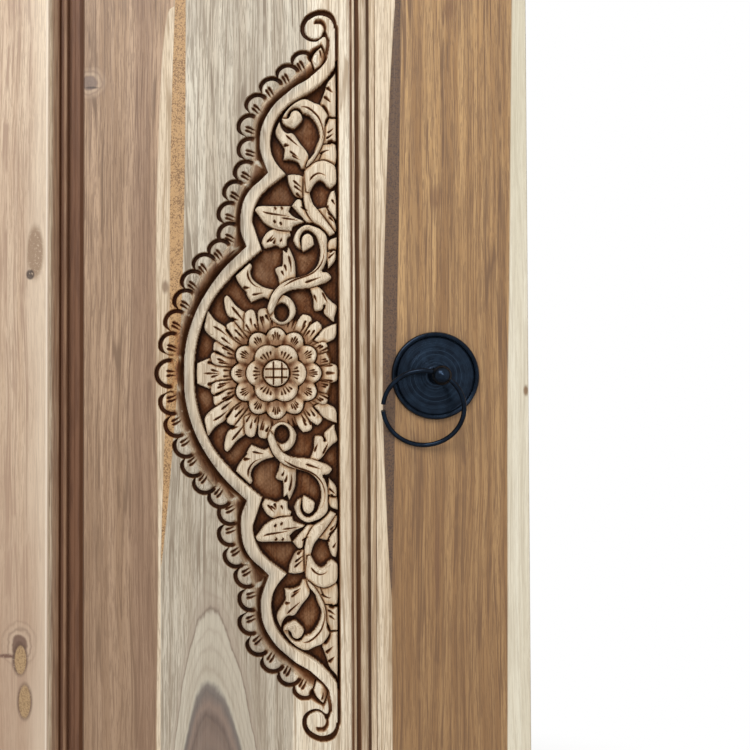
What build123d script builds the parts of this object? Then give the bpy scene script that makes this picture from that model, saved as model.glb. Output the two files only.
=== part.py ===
from build123d import *
import math
import os

# A pair of carved teak door leaves in their own frame. Millimetres, +Z up, outside face towards -Y.
# The origin is the middle of the sill's underside. The left leaf is shut, the right leaf stands open.

# Leaves
leaf_width = 500.0
leaf_height = 2000.0
leaf_thickness = 38.0
meeting_gap = 4.0
hinge_gap = 2.5
sill_gap = 5.0
head_gap = 3.0
widest_opening = 95.0

# Frame
frame_depth = 100.0
jamb_width = 60.0
head_height = 60.0
sill_height = 45.0
stop_overlap = 12.0
stop_gap = 1.0

# Stiles, rails and their joints
hinge_stile_width = 116.0
lock_stile_width = 122.0
top_rail_height = 130.0
bottom_rail_height = 170.0
rail_tenon_length = 75.0
rail_shoulder = 25.0
edge_ease = 0.8
peg_size = 10.0
frame_peg_size = 12.0
frame_tenon_depth = 24.0
frame_tenon_width = 34.0

# Pivots turned on the ends of the hinge stiles
pivot_radius = 12.0
pivot_clearance = 0.1
top_pivot_length = 22.0
bottom_pivot_length = 16.0
socket_depth_spare = 4.0

# Panel and the planted mouldings round it
panel_recess = 1.0
panel_arris = 1.2
tongue_depth = 16.0
tongue_thickness = 14.0
tongue_reach = 9.0
groove_reach = 10.0
tongue_clearance = 0.2
lock_moulding_width = 20.0
hinge_moulding_width = 27.0

# Carving: p runs from its straight edge towards the hinges, q up from the middle of the flower
carving_inset = 9.0
carving_depth = 8.0
belt_depth = 3.6
scallop_radius = 9.2
scallop_groove = 2.7
scallop_drop = 0.7
scallop_tail = 5.0
band_width = 9.2
flower_p = 50.5
button_radius = 10.2
broad_leaf = 18.0
arc_span = 44.0
straight_below = 0.8

# Heights left standing above the floor of the carving
fringe_height = 4.4
foliage_height = 5.6
vine_height = 6.8
outer_petal_height = 5.6
inner_petal_height = 6.6
button_height = 7.8

# Ring pull
ring_inset = 75.0
plate_radius = 35.0
plate_rim_height = 4.2
plate_dish_height = 1.8
plate_cone_height = 4.6
head_radius = 7.8
ring_height_off = 25.5
ring_tilt = 25.0
ring_radius = 31.15
wire_radius = 1.85
ring_gap = 5.8
wire_offset = 0.5
wire_clearance = 0.25
stud_radius = 4.0
stud_clearance = 0.1
washer_radius = 11.0
washer_thickness = 1.6
nut_across_flats = 13.0
nut_thickness = 6.5

# Sliding wooden bar on the inside
bar_width = 32.0
bar_thickness = 20.0
bar_point = 3.0
bar_setback = 10.0
bar_travel = 70.0
bar_drop = 110.0
bar_clearance = 0.5
guide_width = 24.0
guide_wall = 14.0
guide_chamfer = 3.0
guide_inset = 14.0
guide_pitch = 72.0
keeper_inset = 22.0
grip_length = 16.0
grip_height = 12.0
grip_stop_gap = 4.0

# Fixing holes through the jambs into the wall
fixing_radius = 5.0
fixing_spacing = 500.0
lower_fixings_z = 450.0
upper_fixings_z = 1600.0
fixing_setback = 20.0

# Places that follow from the sizes
leaf_edge_x = -meeting_gap / 2
hinge_edge_x = leaf_edge_x - leaf_width
rebate_x = hinge_edge_x - hinge_gap
back_y = frame_depth / 2
face_y = back_y - leaf_thickness
stop_y = face_y - stop_gap
leaf_bottom_z = sill_height - stop_overlap + sill_gap
leaf_top_z = leaf_bottom_z + leaf_height
rebate_top_z = leaf_top_z + head_gap
head_bottom_z = rebate_top_z - stop_overlap
head_top_z = head_bottom_z + head_height
rebate_bottom_z = sill_height - stop_overlap
outer_x = rebate_x + stop_overlap - jamb_width
pivot_x = hinge_edge_x + leaf_thickness / 2
pivot_y = face_y + leaf_thickness / 2
panel_bottom_z = leaf_bottom_z + bottom_rail_height
panel_top_z = leaf_top_z - top_rail_height
carving_z = (panel_bottom_z + panel_top_z) / 2
hinge_stile_x = hinge_edge_x + hinge_stile_width
lock_stile_x = leaf_edge_x - lock_stile_width
field_left_x = hinge_stile_x + hinge_moulding_width
field_right_x = lock_stile_x - lock_moulding_width
field_bottom_z = panel_bottom_z + lock_moulding_width
field_top_z = panel_top_z - lock_moulding_width
tongue_y = face_y + tongue_depth
carving_edge_x = field_right_x - carving_inset
field_y = face_y + panel_recess
ring_x = leaf_edge_x - ring_inset
bar_z = carving_z - bar_drop
jamb_middle_x = (outer_x + rebate_x) / 2
inner_guide_x = leaf_edge_x - guide_inset - guide_pitch
bar_end_x = leaf_edge_x - bar_setback
grip_x = inner_guide_x - guide_width - bar_travel - grip_stop_gap - grip_length


def block(low, high):
    size = [b - a for a, b in zip(low, high)]
    middle = [(a + b) / 2 for a, b in zip(low, high)]
    return Pos(*middle) * Box(*size)


def face_of(edges):
    return make_face(edges)


def arcs_through(points):
    """Arcs through each three points in turn, or a line where they lie straight."""
    edges = []
    for first, middle, last in zip(points[0::2], points[1::2], points[2::2]):
        sag = (last - first).cross(middle - first).length / (last - first).length
        edges.append(Line(first, last) if sag < straight_below else ThreePointArc(first, middle, last))
    return edges


def ribbon(points, widths):
    """A strip of changing width along a smooth line, square at both ends."""
    line = Spline(*points)
    steps = 2 * math.ceil(line.length / arc_span)
    left = []
    right = []
    for step in range(steps + 1):
        share = step / steps
        place = share * (len(widths) - 1)
        index = min(int(place), len(widths) - 2)
        width = widths[index] + (widths[index + 1] - widths[index]) * (place - index)
        spot = line.position_at(share)
        along = line.tangent_at(share)
        across = Vector(-along.Y, along.X) * (width / 2)
        left.append(spot + across)
        right.append(spot - across)
    outline = arcs_through(left) + arcs_through(right[::-1])
    outline += [Line(left[-1], right[-1]), Line(right[0], left[0])]
    return face_of(outline)


def leaf(base, tip, width, bend=0.0):
    """A leaf from its base to its tip: round sides on a broad one, two straight cuts a side on a small one."""
    start = Vector(*base)
    end = Vector(*tip)
    along = (end - start).normalized()
    across = Vector(-along.Y, along.X)
    belly = start + (end - start) * 0.45 + across * bend
    left = belly + across * (width / 2)
    right = belly - across * (width / 2)
    base_left = start + across * (width * 0.28)
    base_right = start - across * (width * 0.28)
    if width < broad_leaf:
        return face_of(Polyline(base_left, left, end, right, base_right, close=True).edges())
    sides = [ThreePointArc(base_left, left, end), ThreePointArc(end, right, base_right)]
    return face_of(sides + [Line(base_right, base_left)])


def disc(centre, radius):
    return Pos(*centre) * Circle(radius)


def both_halves(faces):
    return faces + [mirror(face, about=Plane.XZ) for face in faces]


def merged(faces):
    return faces[0].fuse(*faces[1:])


def prism(shape, top, bottom):
    """The plan shape carried from one depth below the panel's face to another."""
    return extrude(Pos(0, 0, top) * shape, amount=bottom - top)


# Half of the carving's plan, above the middle of the flower
band_lobes = [
    [(122, -3), (120.4, 27), (109.5, 57.5), (91, 82), (65, 101)],
    [(65.5, 96), (73.4, 111.7), (75.4, 123), (74.5, 134.2), (68.3, 144.3), (60.2, 151.5), (49, 161.5)],
    [(50, 161), (57.1, 173.5), (59.7, 186), (59.2, 197.5), (54.1, 210), (43.8, 221), (31.6, 230.5)],
    [(33.5, 229), (19.4, 240), (9.1, 251), (5.2, 261.5), (5.2, 273), (9.5, 283)],
]
scallop_spots = [
    (28.6, 247), (40.8, 236.5), (54, 226), (65.3, 212.8), (71.4, 196.4), (71.4, 177.9), (74.5, 159.5),
    (83.2, 143.5), (87.7, 126.5), (87.7, 110), (95.8, 96.4), (108.2, 85.2), (117.3, 71.9), (123.4, 56.6),
    (130.6, 40.2), (134.6, 22.5),
]
volute_spot = (18.3, 277.5)
volute_radius = 9.9
crescent_width = 1.8
vines = [
    ([(52, 42), (56.6, 47), (55.1, 56.7), (48.9, 65.9), (39.8, 71.5), (29.6, 75.5), (19.4, 81.2),
      (13.3, 91.4), (12.8, 101.6), (16.3, 110.8), (23.5, 115.6), (30.6, 114.6), (33.8, 108)],
     [5, 6, 7, 6.5, 6, 6.5, 3.5]),
    ([(36, 69.5), (24.5, 71.8), (14.3, 76), (9, 78.3)], [5, 8, 7.5, 5]),
    ([(35, 138), (26.5, 128.1), (16.3, 121.5), (9.1, 111), (4, 101)], [5, 8, 8, 6, 4]),
    ([(2.5, 109), (11.2, 119.8), (20.4, 130.1), (24.5, 142.3), (22.5, 155), (14.3, 165.5), (5.5, 160),
      (6.5, 149)], [5, 6, 6, 7, 7, 5]),
    ([(23.5, 147), (28.5, 161.9), (20.4, 174.1), (13.2, 189), (15.3, 204.7), (22.4, 211.8),
      (31.6, 213.9), (40, 210), (43, 203), (38, 196.5)], [5, 6, 6, 6.5, 6.5, 6.5, 4]),
]
coat = ([(37, 215.5), (27.5, 219), (16.3, 215.4), (8.1, 206.7)], [3, 5, 6, 5])
balls = [(26, 107.2), (35.2, 204.7)]
ball_radius = 5.6
loop_spot = (46.4, 49)
loop_outer = 12.6
loop_inner = 7.0
curled_leaves = [
    ([(54, 64), (66, 68.5), (77, 75.5), (73.5, 86.5)], [4, 8, 9, 1.2]),
    ([(28, 163), (34, 174), (42, 188), (51, 196.5)], [5, 9, 7, 1.5]),
]
leaves = [
    ((67, 67), (71.4, 56.5), 10, 0),
    ((40, 73), (45.5, 101), 11, -3),
    ((43, 73), (52.5, 84.5), 7, 1),
    ((50, 115.5), (62, 100.5), 10, 0),
    ((44, 113), (46.5, 99.8), 8.5, 0),
    ((28.5, 121.5), (68.5, 131.3), 20, 0.5),
    ((31, 137), (39, 160.5), 11, 0),
    ((2, 112), (16.3, 131.5), 8, 1),
    ((4.5, 117), (3, 147), 7, 2),
    ((11, 95), (1.5, 109), 7.5, 0),
    ((14, 82), (1.5, 96), 8.5, 0),
    ((27, 66.5), (4, 41), 11, -1),
    ((22, 65), (18.4, 49.5), 7, 0),
    ((26, 162), (2, 186), 12, 2),
    ((18, 174), (2, 204), 11, -2),
    ((8, 206), (1.8, 241.5), 10, 0),
    ((36, 175), (45, 174.5), 8.5, 0),
]
# Tips of the leaf ring round the flower, measured from its middle, with each leaf's width
ring_leaves = [
    (53, 13, 12), (51, 22.5, 11), (56.5, 48.5, 11), (37.5, 40.5, 12), (40.3, 61.5, 12), (22.5, 50.5, 10),
    (13, 49, 9), (-21.9, 45.5, 11), (-33.2, 40.5, 11), (-47.5, 39, 10), (-41, 24.5, 11), (-41.5, 13.5, 10),
]
ring_disc_radius = 43.0
left_tab = ([(30, 0), (55, 0), (65.5, 0)], [17, 19, 23])
right_tab = ([(-30, 0), (-40, 0), (-48.6, 0)], [10, 10, 14])


def flower_at(point):
    return (flower_p + point[0], point[1])


def petals(count, reach, spread, first=0.0):
    """A ring of round petals: each is a circle whose middle lies on a smaller circle."""
    spots = [first + 360 * index / count for index in range(count)]
    rounds = [
        disc((flower_p + reach * math.cos(math.radians(a)), reach * math.sin(math.radians(a))), spread)
        for a in spots
    ]
    return merged([disc((flower_p, 0), reach)] + rounds)


def shell(spot, along, radius):
    """One scallop: a half-round towards the hinges, with straight sides down to the gutter."""
    outward = Vector(along.Y, -along.X)
    side = along * radius
    inner = outward * -scallop_tail
    ends = [spot + side, spot - side, spot - side * 0.9 + inner, spot + side * 0.9 + inner]
    outline = [ThreePointArc(ends[0], spot + outward * radius, ends[1])]
    outline += [Line(ends[1], ends[2]), Line(ends[2], ends[3]), Line(ends[3], ends[0])]
    return face_of(outline)


def scallop_chain():
    """Overlapping shells from the tip of the carving to its middle: each cuts a groove into the one before."""
    half = [Vector(*spot) for spot in scallop_spots]
    middle = Vector(half[-1].X + 2, 0)
    path = [half[0] + (half[0] - half[1])] + half + [middle]
    cut = scallop_radius + scallop_groove
    chain = None
    for before, spot, after in zip(path, path[1:], path[2:]):
        one = shell(spot, (before - after).normalized(), scallop_radius)
        chain = one if chain is None else chain - disc(spot, cut) + one
    big = scallop_radius * 1.1
    last = shell(middle, Vector(0, 1), big)
    chain = chain + mirror(chain, about=Plane.XZ) - disc(middle, big + scallop_groove) + last
    belt = merged(both_halves([disc(spot, cut) for spot in half]) + [disc(middle, big + scallop_groove)])
    return chain, belt


def band_faces():
    faces = [ribbon(lobe, [band_width, band_width]) for lobe in band_lobes[:3]]
    faces.append(ribbon(band_lobes[3], [band_width, band_width * 0.75, band_width * 0.7]))
    return faces


def inside_of_band(reach):
    """The ground between the middle of the band, or of the scallops, and the straight edge."""
    half = reach + [(0, reach[-1][1])]
    whole = half + [(p, -q) for p, q in reversed(half)]
    return face_of(Polyline(*whole, close=True).edges())


def carving():
    """The wood that the carver takes away, with p, q and depth as its own axes."""
    shells, belt = scallop_chain()
    middle_line = [(122, 0), (120.4, 27), (109.5, 57.5), (91, 82), (67, 99.5), (73.4, 111.7), (75.4, 123),
                   (74.5, 134.2), (68.3, 144.3), (51, 161), (57.1, 173.5), (59.7, 186), (59.2, 197.5),
                   (54.1, 210), (43.8, 221), (31.6, 230.5), (19.4, 240), (5.2, 256)]
    ground = inside_of_band(middle_line)
    gutter = inside_of_band([(134.6, 0)] + scallop_spots[::-1] + [(15, 259), (10, 272)])
    volutes = both_halves([disc(volute_spot, volute_radius + scallop_groove + 0.4)])
    shallow = merged([belt, gutter] + volutes)
    shallow = shallow + Pos(1.4, 0) * Rectangle(2.8, 2 * 281)
    pocket = prism(shallow, -1, belt_depth) + prism(ground, -1, carving_depth)

    band = merged(both_halves(band_faces() + [disc(volute_spot, volute_radius)]))
    crescent = ribbon([(19, 280), (12.6, 279), (10, 273), (9.6, 266)], [0.6, crescent_width, 3.5])
    band = band - both_halves([crescent])
    growth = [ribbon(*vine) for vine in vines]
    growth.append(disc(loop_spot, loop_outer) - disc(loop_spot, loop_inner))
    growth = growth + [disc(ball, ball_radius) for ball in balls]
    foliage = [leaf(*each) for each in leaves] + [ribbon(*each) for each in curled_leaves + [coat]]
    fringe = [leaf(flower_at((dp * 0.55, dq * 0.55)), flower_at((dp, dq)), w) for dp, dq, w in ring_leaves]
    tabs = [ribbon([flower_at(p) for p in line], widths) for line, widths in (left_tab, right_tab)]
    fringe = both_halves(fringe) + tabs + [disc((flower_p, 0), ring_disc_radius)]
    holes = both_halves([disc(loop_spot, loop_inner)])

    def standing(shape, height):
        return prism(shape, carving_depth - height, carving_depth + 1)

    stays = [
        standing(band, carving_depth + 2),
        prism(shells, scallop_drop, carving_depth + 1),
        standing(merged(fringe) - holes, fringe_height),
        standing(petals(12, 28.5, 8.3), outer_petal_height),
        standing(petals(6, 13.8, 9.2), inner_petal_height),
        standing(disc((flower_p, 0), button_radius), button_height),
        standing(merged(both_halves(foliage)) - holes, foliage_height),
        standing(merged(both_halves(growth)), vine_height),
    ]
    return pocket - stays


def carved_panel():
    field = block((field_left_x, field_y, field_bottom_z), (field_right_x, tongue_y + 2, field_top_z))
    field = chamfer(field.faces().sort_by(Axis.Y)[0].edges(), panel_arris)
    tongue = block(
        (hinge_stile_x - tongue_reach, tongue_y + tongue_clearance, panel_bottom_z - tongue_reach),
        (lock_stile_x + tongue_reach, tongue_y + tongue_thickness - tongue_clearance, panel_top_z + tongue_reach),
    )
    plane = Plane(origin=(carving_edge_x, field_y, carving_z), x_dir=(-1, 0, 0), z_dir=(0, 1, 0))
    return field + tongue - plane.location * carving()


def stile(outer_x, inner_x, hinge_side):
    """One upright of a leaf, with the groove for the panel and the mortises for the rails."""
    low, high = sorted((outer_x, inner_x))
    inward = 1 if outer_x < inner_x else -1
    if hinge_side:
        body = block((pivot_x, face_y, leaf_bottom_z), (high, back_y, leaf_top_z))
        edge = Cylinder(leaf_thickness / 2, leaf_height)
        body = body + Pos(pivot_x, pivot_y, (leaf_bottom_z + leaf_top_z) / 2) * edge
    else:
        body = block((low, face_y, leaf_bottom_z), (high, back_y, leaf_top_z))
        meeting = body.edges().filter_by(Axis.Z).group_by(Axis.X)[-1]
        body = chamfer(meeting, edge_ease)
    groove_end = inner_x - inward * groove_reach
    mortise_end = inner_x - inward * rail_tenon_length
    cuts = [
        block(
            (min(inner_x, groove_end), tongue_y, panel_bottom_z - groove_reach),
            (max(inner_x, groove_end), tongue_y + tongue_thickness, panel_top_z + groove_reach),
        )
    ]
    for bottom, top in rail_tenon_heights():
        cuts.append(
            block(
                (min(inner_x, mortise_end), tongue_y, bottom),
                (max(inner_x, mortise_end), tongue_y + tongue_thickness, top),
            )
        )
    return body - cuts - pegs_in(inner_x, inward)


def rail_tenon_heights():
    return [
        (leaf_bottom_z + rail_shoulder, panel_bottom_z - groove_reach),
        (panel_top_z + groove_reach, leaf_top_z - rail_shoulder),
    ]


def pegs_in(inner_x, inward):
    """Two square pegs through each corner joint of a leaf, flush with both faces."""
    middle_x = inner_x - inward * rail_tenon_length / 2
    pegs = []
    for bottom, top in rail_tenon_heights():
        for share in (0.27, 0.73):
            z = bottom + (top - bottom) * share
            pegs.append(
                block(
                    (middle_x - peg_size / 2, face_y, z - peg_size / 2),
                    (middle_x + peg_size / 2, back_y, z + peg_size / 2),
                )
            )
    return pegs


def hinge_stile():
    body = stile(hinge_edge_x, hinge_stile_x, True)
    top = Cylinder(pivot_radius, top_pivot_length)
    bottom = Cylinder(pivot_radius, bottom_pivot_length)
    body = body + Pos(pivot_x, pivot_y, leaf_top_z + top_pivot_length / 2) * top
    return body + Pos(pivot_x, pivot_y, leaf_bottom_z - bottom_pivot_length / 2) * bottom


def lock_stile():
    stud = Cylinder(stud_radius + stud_clearance, leaf_thickness * 2, rotation=(90, 0, 0))
    return stile(leaf_edge_x, lock_stile_x, False) - Pos(ring_x, face_y, carving_z) * stud


def rail(low_z, high_z, panel_edge_z, tenon_heights):
    body = block((hinge_stile_x, face_y, low_z), (lock_stile_x, back_y, high_z))
    body = body + block(
        (hinge_stile_x - rail_tenon_length, tongue_y, tenon_heights[0]),
        (lock_stile_x + rail_tenon_length, tongue_y + tongue_thickness, tenon_heights[1]),
    )
    toward = -1 if panel_edge_z == high_z else 1
    groove_end = panel_edge_z + toward * groove_reach
    groove = block(
        (hinge_stile_x, tongue_y, min(panel_edge_z, groove_end)),
        (lock_stile_x, tongue_y + tongue_thickness, max(panel_edge_z, groove_end)),
    )
    return body - groove - pegs_in(hinge_stile_x, 1) - pegs_in(lock_stile_x, -1)


def top_rail():
    return rail(panel_top_z, leaf_top_z, panel_top_z, rail_tenon_heights()[1])


def bottom_rail():
    return rail(leaf_bottom_z, panel_bottom_z, panel_bottom_z, rail_tenon_heights()[0])


def reeded_section():
    """Two round reeds between sunk lines: width runs from the frame's side to the panel's, then depth."""
    width = lock_moulding_width
    return [
        Line((0, 1.3), (0.8, 0.5)),
        Line((0.8, 0.5), (4.6, 0.5)),
        Line((4.6, 0.5), (5.3, 4.0)),
        Line((5.3, 4.0), (6.6, 4.0)),
        Line((6.6, 4.0), (7.2, 1.3)),
        ThreePointArc((7.2, 1.3), (10.2, 0.3), (13.2, 1.3)),
        Line((13.2, 1.3), (13.8, 4.2)),
        Line((13.8, 4.2), (15.8, 4.2)),
        Line((15.8, 4.2), (16.4, 1.2)),
        ThreePointArc((16.4, 1.2), (17.8, 0.2), (width - 0.8, 1.2)),
        Line((width - 0.8, 1.2), (width, 1.8)),
        Line((width, 1.8), (width, tongue_depth)),
        Line((width, tongue_depth), (0, tongue_depth)),
        Line((0, tongue_depth), (0, 1.3)),
    ]


def hollow_section():
    """A sloping shoulder, a quirk, a small reed and a wide sunk channel beside the panel."""
    width = hinge_moulding_width
    return [
        Line((0, 0.4), (6.8, 5.2)),
        Line((6.8, 5.2), (7.4, 8.0)),
        Line((7.4, 8.0), (9.8, 8.0)),
        Line((9.8, 8.0), (10.2, 5.2)),
        ThreePointArc((10.2, 5.2), (11.8, 4.3), (13.4, 5.2)),
        Line((13.4, 5.2), (13.8, 9.4)),
        ThreePointArc((13.8, 9.4), (20.4, 8.5), (width, 9.4)),
        Line((width, 9.4), (width, tongue_depth)),
        Line((width, tongue_depth), (0, tongue_depth)),
        Line((0, tongue_depth), (0, 0.4)),
    ]


def upright_moulding(section, frame_x, towards_panel):
    """A moulding along a stile, its section given from the stile's edge towards the panel."""
    plane = Plane(
        origin=(frame_x, face_y, panel_bottom_z),
        x_dir=(towards_panel, 0, 0),
        z_dir=(0, 0, towards_panel),
    )
    height = panel_top_z - panel_bottom_z
    return extrude(plane * face_of(section), amount=height * towards_panel)


def level_moulding(frame_z, towards_panel):
    """The reeded moulding along a rail, between the two upright ones."""
    plane = Plane(
        origin=(field_left_x, face_y, frame_z),
        x_dir=(0, 0, towards_panel),
        z_dir=(-towards_panel, 0, 0),
    )
    length = field_right_x - field_left_x
    return extrude(plane * face_of(reeded_section()), amount=-towards_panel * length)


def turned(profile):
    """A round piece turned about the axis that stands out of the door at the ring pull."""
    solid = revolve(face_of(profile), axis=Axis.Y)
    return Pos(ring_x, face_y, carving_z) * solid


def outline_of(points):
    return Polyline(*points, close=True).edges()


def ring_plate():
    rim = plate_radius - 3.0
    points = [
        (0, 0), (plate_radius, 0), (plate_radius, -plate_rim_height * 0.5), (plate_radius - 1.2, -plate_rim_height),
        (rim, -plate_rim_height * 0.85), (rim - 1.5, -plate_dish_height), (plate_radius * 0.62, -plate_dish_height * 1.3),
        (stud_radius + 3.0, -plate_cone_height), (0, -plate_cone_height),
    ]
    bore = Pos(ring_x, face_y, carving_z) * Cylinder(stud_radius, 20, rotation=(90, 0, 0))
    return turned(outline_of(points)) - bore


def hole_direction():
    lean = math.radians(ring_tilt)
    return Vector(math.cos(lean), 0, -math.sin(lean))


def hang_direction():
    """Square to the ring's hole in the plane of the door, down and towards the hinges."""
    lean = math.radians(ring_tilt)
    return Vector(-math.sin(lean), 0, -math.cos(lean))


def lean_angle():
    """How far the ring leans in from hanging clear, with its lower edge just off the wood."""
    reach = 2 * ring_radius - wire_offset
    return math.degrees(math.asin((ring_height_off - wire_radius - 0.4) / reach))


def hole_place():
    return Vector(ring_x, face_y - ring_height_off, carving_z)


def ring_post():
    """A turned stud with a flange, a neck and a round head that the ring passes through."""
    off = ring_height_off
    head = [
        Line((0, leaf_thickness + 11), (stud_radius, leaf_thickness + 11)),
        Line((stud_radius, leaf_thickness + 11), (stud_radius, -plate_cone_height)),
        Line((stud_radius, -plate_cone_height), (stud_radius + 2.6, -plate_cone_height)),
        Line((stud_radius + 2.6, -plate_cone_height), (stud_radius + 0.8, -plate_cone_height - 3.5)),
        Line((stud_radius + 0.8, -plate_cone_height - 3.5), (stud_radius + 0.4, 6.6 - off)),
        ThreePointArc((stud_radius + 0.4, 6.6 - off), (head_radius, -off), (2.2, -off - 7.6)),
        Line((2.2, -off - 7.6), (0, -off - 8.6)),
        Line((0, -off - 8.6), (0, leaf_thickness + 11)),
    ]
    bore = Plane(origin=hole_place(), z_dir=hole_direction()) * Cylinder(hole_radius(), head_radius * 3)
    return turned(head) - bore


def hole_radius():
    """Wide enough for the bent wire to turn in a straight hole."""
    sag = head_radius ** 2 / (2 * ring_radius)
    return wire_radius + max(wire_offset, sag - wire_offset) + wire_clearance


def ring():
    """An open wire ring, hung through the head and leaning in against the door, its gap level with its middle."""
    centre_off = ring_radius - wire_offset
    gap = math.degrees(ring_gap / ring_radius)
    wire = Pos(ring_radius, 0, 0) * Plane.XZ * Circle(wire_radius)
    hoop = revolve(wire, axis=Axis.Z, revolution_arc=360 - gap)
    lean = math.radians(lean_angle())
    down = hang_direction() * math.cos(lean) + Vector(0, math.sin(lean), 0)
    centre = hole_place() + down * centre_off
    across = hole_direction()
    plane = Plane(origin=centre, x_dir=across, z_dir=across.cross(down))
    level = 180 - ring_tilt
    return plane.location * Rot(0, 0, level + gap / 2) * hoop


def ring_washer():
    body = Cylinder(washer_radius, washer_thickness, rotation=(90, 0, 0))
    bore = Cylinder(stud_radius + stud_clearance, washer_thickness * 2, rotation=(90, 0, 0))
    return Pos(ring_x, back_y + washer_thickness / 2, carving_z) * (body - bore)


def ring_nut():
    hexagon = RegularPolygon(nut_across_flats / math.sqrt(3), 6) - Circle(stud_radius)
    plane = Plane(origin=(ring_x, back_y + washer_thickness, carving_z), x_dir=(1, 0, 0), z_dir=(0, 1, 0))
    return extrude(plane * hexagon, amount=nut_thickness)


def bar_guide(outer_x):
    """A wooden bridge on the inside of a leaf, bored square for the bar."""
    half = bar_width / 2
    top_y = back_y + bar_clearance * 2 + bar_thickness + guide_wall
    body = block(
        (outer_x - guide_width, back_y, bar_z - half - guide_wall),
        (outer_x, top_y, bar_z + half + guide_wall),
    )
    body = chamfer(body.edges().group_by(Axis.Y)[-1], guide_chamfer)
    slot = block(
        (outer_x - 2 * guide_width, back_y, bar_z - half - bar_clearance),
        (outer_x + guide_width, back_y + bar_thickness + 2 * bar_clearance, bar_z + half + bar_clearance),
    )
    return body - slot


def latch_bar():
    """The sliding bar, drawn back, with a grip that stops against the guide when it is shot."""
    low_y = back_y + bar_clearance
    top_y = low_y + bar_thickness
    half = bar_width / 2
    bar = block((grip_x, low_y, bar_z - half), (bar_end_x, top_y, bar_z + half))
    bar = chamfer(bar.edges().group_by(Axis.X)[-1], bar_point)
    grip = block((grip_x, top_y, bar_z - half), (grip_x + grip_length, top_y + grip_height, bar_z + half))
    return bar + grip


def jamb():
    """The left side of the frame: a rebated post with a tenon at each end and four fixing holes."""
    post = block((outer_x, -frame_depth / 2, sill_height), (rebate_x + stop_overlap, back_y, head_bottom_z))
    rebate = block((rebate_x, stop_y, sill_height), (rebate_x + 2 * stop_overlap, back_y, head_bottom_z))
    body = post - rebate + tenon(0, head_top_z)
    for middle in (lower_fixings_z, upper_fixings_z):
        for side in (-0.5, 0.5):
            hole = Cylinder(fixing_radius, jamb_width * 3, rotation=(0, 90, 0))
            body = body - Pos(outer_x, -fixing_setback, middle + side * fixing_spacing) * hole
    return body - frame_pegs_left()


def tenon(low_z, high_z):
    """The stuff of a jamb that runs on through the head and the sill."""
    return block(
        (jamb_middle_x - frame_tenon_width / 2, -frame_tenon_depth, low_z),
        (jamb_middle_x + frame_tenon_width / 2, 0, high_z),
    )


def frame_pegs_left():
    half = frame_peg_size / 2
    pegs = []
    for z in (sill_height / 2, (head_bottom_z + head_top_z) / 2):
        low = (jamb_middle_x - half, -frame_depth / 2, z - half)
        pegs.append(block(low, (jamb_middle_x + half, back_y, z + half)))
    return pegs


def sockets(low_z, high_z):
    hole = Cylinder(pivot_radius + pivot_clearance, high_z - low_z)
    middle = (low_z + high_z) / 2
    return [Pos(side * pivot_x, pivot_y, middle) * hole for side in (1, -1)]


def tenon_mortises(low_z, high_z):
    cut = tenon(low_z, high_z)
    return [cut, mirror(cut, about=Plane.YZ)]


def frame_pegs():
    left = frame_pegs_left()
    return left + [mirror(peg, about=Plane.YZ) for peg in left]


def head():
    body = block((outer_x, -frame_depth / 2, head_bottom_z), (-outer_x, back_y, head_top_z))
    body = body - block((rebate_x, stop_y, head_bottom_z), (-rebate_x, back_y, rebate_top_z))
    cuts = tenon_mortises(head_bottom_z, head_top_z) + frame_pegs()
    return body - cuts - sockets(rebate_top_z, leaf_top_z + top_pivot_length + socket_depth_spare)


def sill():
    body = block((outer_x, -frame_depth / 2, 0), (-outer_x, back_y, sill_height))
    body = body - block((rebate_x, stop_y, rebate_bottom_z), (-rebate_x, back_y, sill_height))
    cuts = tenon_mortises(0, sill_height) + frame_pegs()
    return body - cuts - sockets(leaf_bottom_z - bottom_pivot_length, rebate_bottom_z)


def left_leaf():
    return {
        "hinge_stile": hinge_stile(),
        "lock_stile": lock_stile(),
        "top_rail": top_rail(),
        "bottom_rail": bottom_rail(),
        "carved_panel": carved_panel(),
        "hinge_moulding": upright_moulding(hollow_section(), hinge_stile_x, 1),
        "lock_moulding": upright_moulding(reeded_section(), lock_stile_x, -1),
        "top_moulding": level_moulding(panel_top_z, -1),
        "bottom_moulding": level_moulding(panel_bottom_z, 1),
        "leaf_pegs": Compound(pegs_in(hinge_stile_x, 1) + pegs_in(lock_stile_x, -1)),
        "ring_plate": ring_plate(),
        "ring_post": ring_post(),
        "ring_washer": ring_washer(),
        "ring_nut": ring_nut(),
        "ring": ring(),
    }


def opened(shape):
    """The other leaf: the mirror image of the left one, swung inwards on its pivots."""
    other = mirror(shape, about=Plane.YZ)
    hinge = Axis((-pivot_x, pivot_y, 0), (0, 0, 1))
    return other.rotate(hinge, -widest_opening)


def all_parts():
    parts = {
        "left_jamb": jamb(),
        "right_jamb": mirror(jamb(), about=Plane.YZ),
        "head": head(),
        "sill": sill(),
        "frame_pegs": Compound(frame_pegs()),
        "latch_bar": latch_bar(),
        "outer_bar_guide": bar_guide(leaf_edge_x - guide_inset),
        "inner_bar_guide": bar_guide(inner_guide_x),
        "bar_keeper": opened(bar_guide(leaf_edge_x - keeper_inset)),
    }
    for name, shape in left_leaf().items():
        parts["left_" + name] = shape
        parts["right_" + name] = opened(shape)
    return parts


os.makedirs("parts", exist_ok=True)
for name, shape in all_parts().items():
    export_step(shape, f"parts/{name}.step")
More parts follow.
